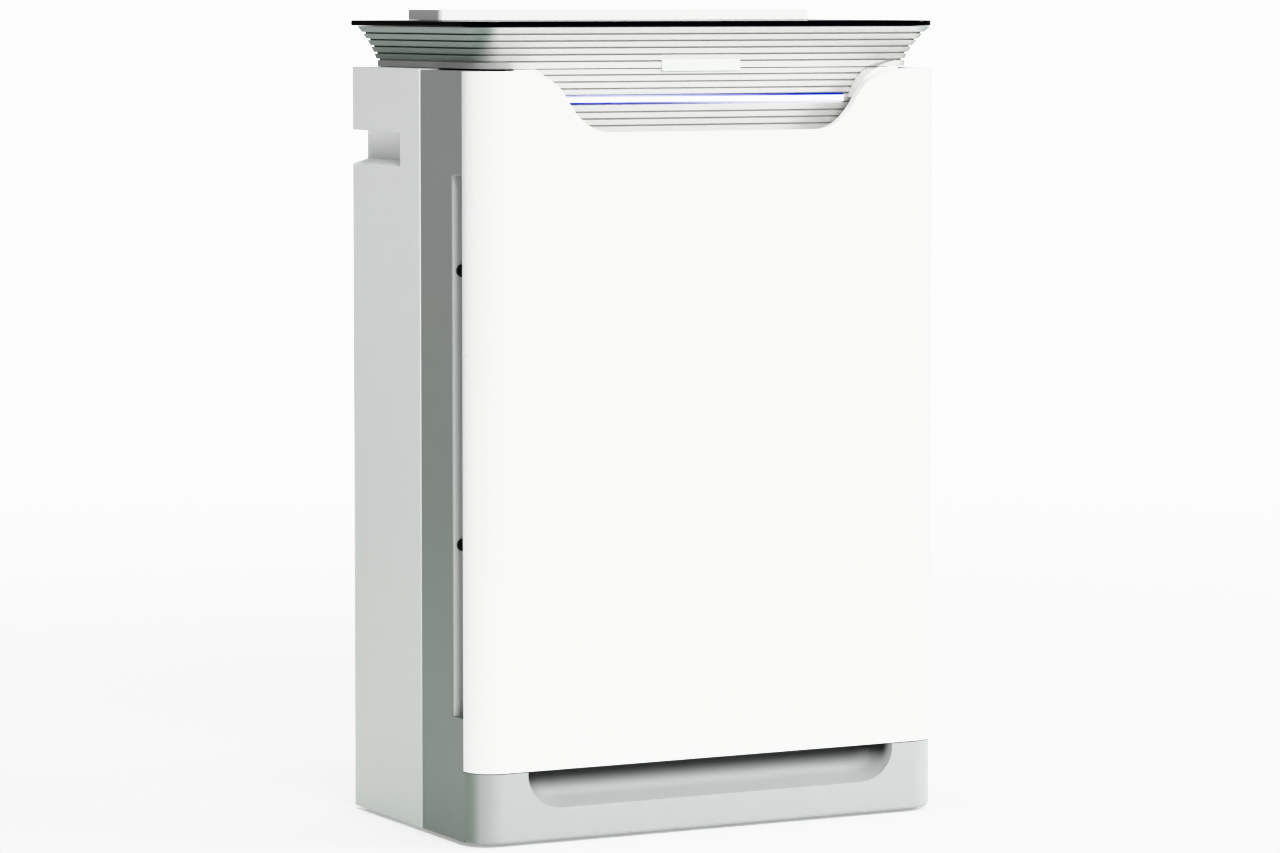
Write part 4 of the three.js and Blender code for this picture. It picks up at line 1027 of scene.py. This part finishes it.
class PURIFIER_OT_outlet(PurifierPart, bpy.types.Operator):
    """Raised outlet frame with its slats"""
    bl_idname = "purifier.outlet"
    bl_label = "Outlet"

    def execute(self, context):
        shell, _, colours = self.settings(context)
        low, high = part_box("outlet_frame")
        _, glass_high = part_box("top_glass")
        grille_low, grille_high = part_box("outlet_grille")
        beyond, corner = 4 * MM, 4 * MM
        line_depth, line_half = 0.4 * MM, 0.2 * MM
        seat = glass_high.z + CLEARANCE
        rim = cuboid("outlet_rim", (low.x, low.y, seat), high)
        round_edges(rim, corner, 8, lambda e: along(e, 2))

        def around(name, margin, bottom, top):
            """A box that stands out from the slats on all sides."""
            return cuboid(name, (grille_low.x - margin, grille_low.y - margin, bottom),
                          (grille_high.x + margin, grille_high.y + margin, top))

        trim(rim, around("skirt", shell.wall, low.z, seat + MM), "UNION")
        trim(rim, around("mouth", CLEARANCE, low.z - beyond, high.z + beyond))
        centre = (low.y + high.y) / 2
        for side in (-1, 1):
            line = cuboid("parting_line", (side * high.x - line_depth, centre - line_half, seat - MM),
                          (side * high.x + line_depth, centre + line_half, high.z + MM))
            trim(rim, line)
        round_edges(rim, shell.edge, 3,
                    lambda e: sharp(e, 1.2) and middle(e).z > high.z - NEAR
                    and (e.verts[1].co - e.verts[0].co).length > line_depth - NEAR)
        finish = moulding("outlet moulding", colours.white, 0.34, grain=0.6, depth=0.01, coat=0.15)
        place(smooth(rim), finish, "white_shell", "outlet_frame")
        self.slats(grille_low, grille_high, finish)
        return {"FINISHED"}

    def slats(self, low, high, finish):
        """Slats with rounded crests along the mouth, tied by cross bars and a rim."""
        rows, columns, rail = 8, 4, 1.6 * MM
        crest, tie_drop = 0.6 * MM, 0.8 * MM
        pieces = []
        for row in range(rows + 1):
            y = low.y + row * (high.y - low.y - rail) / rows
            slat = cuboid("slat", (low.x, y, low.z), (high.x, y + rail, high.z))
            round_edges(slat, crest, 3, lambda e: along(e, 0) and middle(e).z > high.z - MM)
            pieces.append(slat)
        for column in range(columns + 1):
            x = low.x + column * (high.x - low.x - rail) / columns
            tie = cuboid("tie", (x, low.y, low.z), (x + rail, high.y, high.z - tie_drop))
            pieces.append(tie)
        whole = joined(*pieces)
        whole.name = "outlet_slats"
        place(smooth(whole), finish, "white_shell", "outlet_grille")


class PURIFIER_OT_small_parts(PurifierPart, bpy.types.Operator):
    """Buffers, feet, rear screws and the cord gland"""
    bl_idname = "purifier.small_parts"
    bl_label = "Buffers, Feet and Fasteners"

    def execute(self, context):
        black = rubber()
        zinc = steel("zinc screws", (0.62, 0.63, 0.65))
        buffer_edge, foot_edge, foot_radius = 0.7 * MM, 0.6 * MM, 10 * MM
        for side in ("left", "right"):
            for level in ("lower", "upper"):
                node = f"buffer_{side}_{level}"
                low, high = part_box(node)
                centre = (low + high) / 2
                pad = disc(f"rubber_{node}", (high.x - low.x) / 2, (centre.x, low.y, centre.z),
                           (centre.x, high.y, centre.z), "Y", 40)
                round_edges(pad, buffer_edge, 3, lambda e: sharp(e, 1.2))
                place(smooth(pad), black, "black_rubber", node)
            for end in ("front", "back"):
                node = f"foot_{end}_{side}"
                low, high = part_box(node)
                centre = (low + high) / 2
                pad = disc(f"pad_{node}", foot_radius, (centre.x, centre.y, low.z),
                           (centre.x, centre.y, high.z), "Z", 40, tip=(high.x - low.x) / 2)
                round_edges(pad, foot_edge, 3, lambda e: sharp(e, 1.1) and middle(e).z < low.z + MM)
                place(smooth(pad), black, "black_rubber", node)
            for row in (1, 2, 3):
                self.screw(side, row, zinc)
        dress(black, "cord_gland")
        return {"FINISHED"}

    def screw(self, side, row, zinc):
        """A pan-head screw with a cross recess."""
        node = f"rear_screw_{side}_{row}"
        low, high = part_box(node)
        centre = (low + high) / 2
        height, dome, shank_radius = 3.2 * MM, 1.1 * MM, 2 * MM
        head_front = high.y - height
        head = disc(f"cross_{node}", (high.x - low.x) / 2, (centre.x, head_front, centre.z),
                    (centre.x, high.y, centre.z), "Y", 32)
        round_edges(head, dome, 4, lambda e: sharp(e, 1.2) and middle(e).y > high.y - 2 * NEAR)
        reach, slit, depth = 2.2 * MM, 0.45 * MM, 1.6 * MM
        for across, up in ((reach, slit), (slit, reach)):
            trim(head, cuboid("recess", (centre.x - across, high.y - depth, centre.z - up),
                              (centre.x + across, high.y + MM, centre.z + up)))
        shank = disc("shank", shank_radius, (centre.x, low.y, centre.z),
                     (centre.x, head_front + MM, centre.z), "Y", 16)
        place(smooth(joined(head, shank)), zinc, "steel", node)


class PURIFIER_OT_insides(PurifierPart, bpy.types.Operator):
    """Finishes of the filters, the fan and what else is inside"""
    bl_idname = "purifier.insides"
    bl_label = "Insides"

    def execute(self, context):
        _, _, colours = self.settings(context)
        sides = ("left", "right")
        dress(moulding("white inner moulding", shade_of(colours.white, 0.95), 0.45, grain=0.5, depth=0.02),
              "switch_peg", "fan_wheel", "ioniser", "switch_plunger",
              *[f"{part}_{side}" for part in ("panel_clip", "panel_peg", "uv_socket") for side in sides])
        dress(moulding("black inner moulding", (0.03, 0.03, 0.031), 0.5, grain=0.5, depth=0.02),
              "fan_guard", "dust_sensor", "safety_switch", "prefilter_frame")
        dress(moulding("natural inner moulding", (0.50, 0.51, 0.50), 0.48, grain=0.6, depth=0.02),
              "outlet_duct", "bay_grille", "scroll", "inlet_ring")
        dress(moulding("base plate moulding", colours.grey, 0.5, grain=0.5, depth=0.02), "base_plate")
        dress(steel("zinc plate", (0.60, 0.61, 0.63)), "motor_shaft", "shaft_nut", "motor_bracket")
        dress(steel("motor can", (0.16, 0.16, 0.17), 0.42), "motor_body")
        dress(filter_card(), "hepa_frame", "carbon_frame")
        dress(fibre_paper(), "hepa_pleats")
        dress(carbon(), "carbon_core")
        dress(woven_mesh(), "prefilter_mesh")
        dress(tape(), "filter_tab_left", "filter_tab_right")
        dress(circuit_board(), "light_board", "control_board", "power_board")
        dress(quartz(), "uv_lamp")
        return {"FINISHED"}


class PURIFIER_OT_stage(PurifierPart, bpy.types.Operator):
    """Pale floor, soft light and the camera"""
    bl_idname = "purifier.stage"
    bl_label = "Stage"

    def execute(self, context):
        scene = context.scene
        self.floor()
        self.sky(scene)
        stage = scene.purifier_stage
        self.lamp("key", (-0.4, -3.7, 2.3), (0, 0, 0.3), 2.2, stage.key)
        self.lamp("fill", (3.6, -2.2, 2.0), (0, 0, 0.3), 1.6, stage.fill)
        self.lamp("overhead", (0.2, 0.6, 3.4), (0, 0, 0.3), 2.6, stage.overhead)
        scene.view_settings.view_transform = "Khronos PBR Neutral"
        self.camera(scene)
        return {"FINISHED"}

    def floor(self):
        """A round floor that fades away into the backdrop."""
        bpy.ops.mesh.primitive_circle_add(vertices=96, radius=9, fill_type="NGON", location=(0, 0, 0))
        floor = bpy.context.object
        floor.name = "floor"
        made = Shader("pale floor", Emission_Color=(1, 1, 1, 1), Emission_Strength=0.3)
        grain = made.noise(0.25, 4)
        made.finish((0.86, 0.86, 0.86), (0.88, 0.88, 0.88), grain, 0.7, 0.1)
        clear = made.node("ShaderNodeBsdfTransparent")
        faded = made.nodes.new("ShaderNodeMixShader")
        made.feed(faded.inputs[0], made.away().above(1.9, 1.3))
        made.links.new(made.surface.outputs[0], faded.inputs[1])
        made.links.new(clear.socket, faded.inputs[2])
        made.links.new(faded.outputs[0], made.nodes["Material Output"].inputs["Surface"])
        floor.data.materials.append(made.material)

    def sky(self, scene):
        """A plain white backdrop, dimmer for the light that it sheds."""
        world = bpy.data.worlds.new("studio")
        scene.world = world
        world.use_nodes = True
        nodes, links = world.node_tree.nodes, world.node_tree.links
        shed = nodes["Background"]
        shed.inputs["Color"].default_value = (0.97, 0.99, 0.98, 1)
        shed.inputs["Strength"].default_value = scene.purifier_stage.sky
        seen = nodes.new("ShaderNodeBackground")
        seen.inputs["Color"].default_value = (1, 1, 1, 1)
        seen.inputs["Strength"].default_value = 3.0
        path = nodes.new("ShaderNodeLightPath")
        both = nodes.new("ShaderNodeMixShader")
        links.new(path.outputs["Is Camera Ray"], both.inputs[0])
        links.new(shed.outputs[0], both.inputs[1])
        links.new(seen.outputs[0], both.inputs[2])
        links.new(both.outputs[0], nodes["World Output"].inputs["Surface"])

    def lamp(self, name, spot, aim, size, power):
        """A square soft box that faces a point."""
        light = bpy.data.lights.new(name, "AREA")
        light.shape = "SQUARE"
        light.size = size
        light.energy = power
        lamp = bpy.data.objects.new(name, light)
        lamp.location = spot
        lamp.rotation_euler = (Vector(aim) - Vector(spot)).to_track_quat("-Z", "Y").to_euler()
        lamp.visible_camera = False
        bpy.context.scene.collection.objects.link(lamp)

    def camera(self, scene):
        """The camera, at the angle and distance that show the front and the left side."""
        settings = scene.purifier_stage
        lens = bpy.data.cameras.new("camera")
        lens.lens, lens.sensor_width = settings.lens, 36
        lens.shift_y = settings.shift
        lens.clip_end = 60
        camera = bpy.data.objects.new("camera", lens)
        camera.location = settings.place
        camera.rotation_euler = (math.radians(90) - settings.pitch, 0, settings.azimuth)
        scene.collection.objects.link(camera)
        scene.camera = camera


class PURIFIER_PT_parts(bpy.types.Panel):
    """The purifier's parts and settings"""
    bl_idname = "PURIFIER_PT_parts"
    bl_label = "Air Purifier"
    bl_space_type = "VIEW_3D"
    bl_region_type = "UI"
    bl_category = "Purifier"

    def draw(self, context):
        for operator in OPERATORS:
            self.layout.operator(operator.bl_idname)
        for group in ("purifier_shell", "purifier_head", "purifier_colours", "purifier_stage"):
            box = self.layout.box()
            settings = getattr(context.scene, group)
            for name in settings.__annotations__:
                box.prop(settings, name)


SETTINGS = {
    "purifier_shell": ShellSizes,
    "purifier_head": HeadSizes,
    "purifier_colours": Colours,
    "purifier_stage": StageSettings,
}
OPERATORS = (
    PURIFIER_OT_stage,
    PURIFIER_OT_front_panel,
    PURIFIER_OT_middle_frame,
    PURIFIER_OT_rear_shell,
    PURIFIER_OT_head,
    PURIFIER_OT_lights,
    PURIFIER_OT_top_glass,
    PURIFIER_OT_outlet,
    PURIFIER_OT_small_parts,
    PURIFIER_OT_insides,
)


def register():
    for made in (*SETTINGS.values(), *OPERATORS, PURIFIER_PT_parts):
        bpy.utils.register_class(made)
    for name, group in SETTINGS.items():
        setattr(bpy.types.Scene, name, PointerProperty(type=group))


def unregister():
    for name in SETTINGS:
        delattr(bpy.types.Scene, name)
    for made in reversed((*SETTINGS.values(), *OPERATORS, PURIFIER_PT_parts)):
        bpy.utils.unregister_class(made)


def main():
    register()
    for other in bpy.context.selected_objects:
        other.select_set(False)
    for operator in OPERATORS:
        family, name = operator.bl_idname.split(".")
        getattr(getattr(bpy.ops, family), name)()


if __name__ == "__main__":
    main()
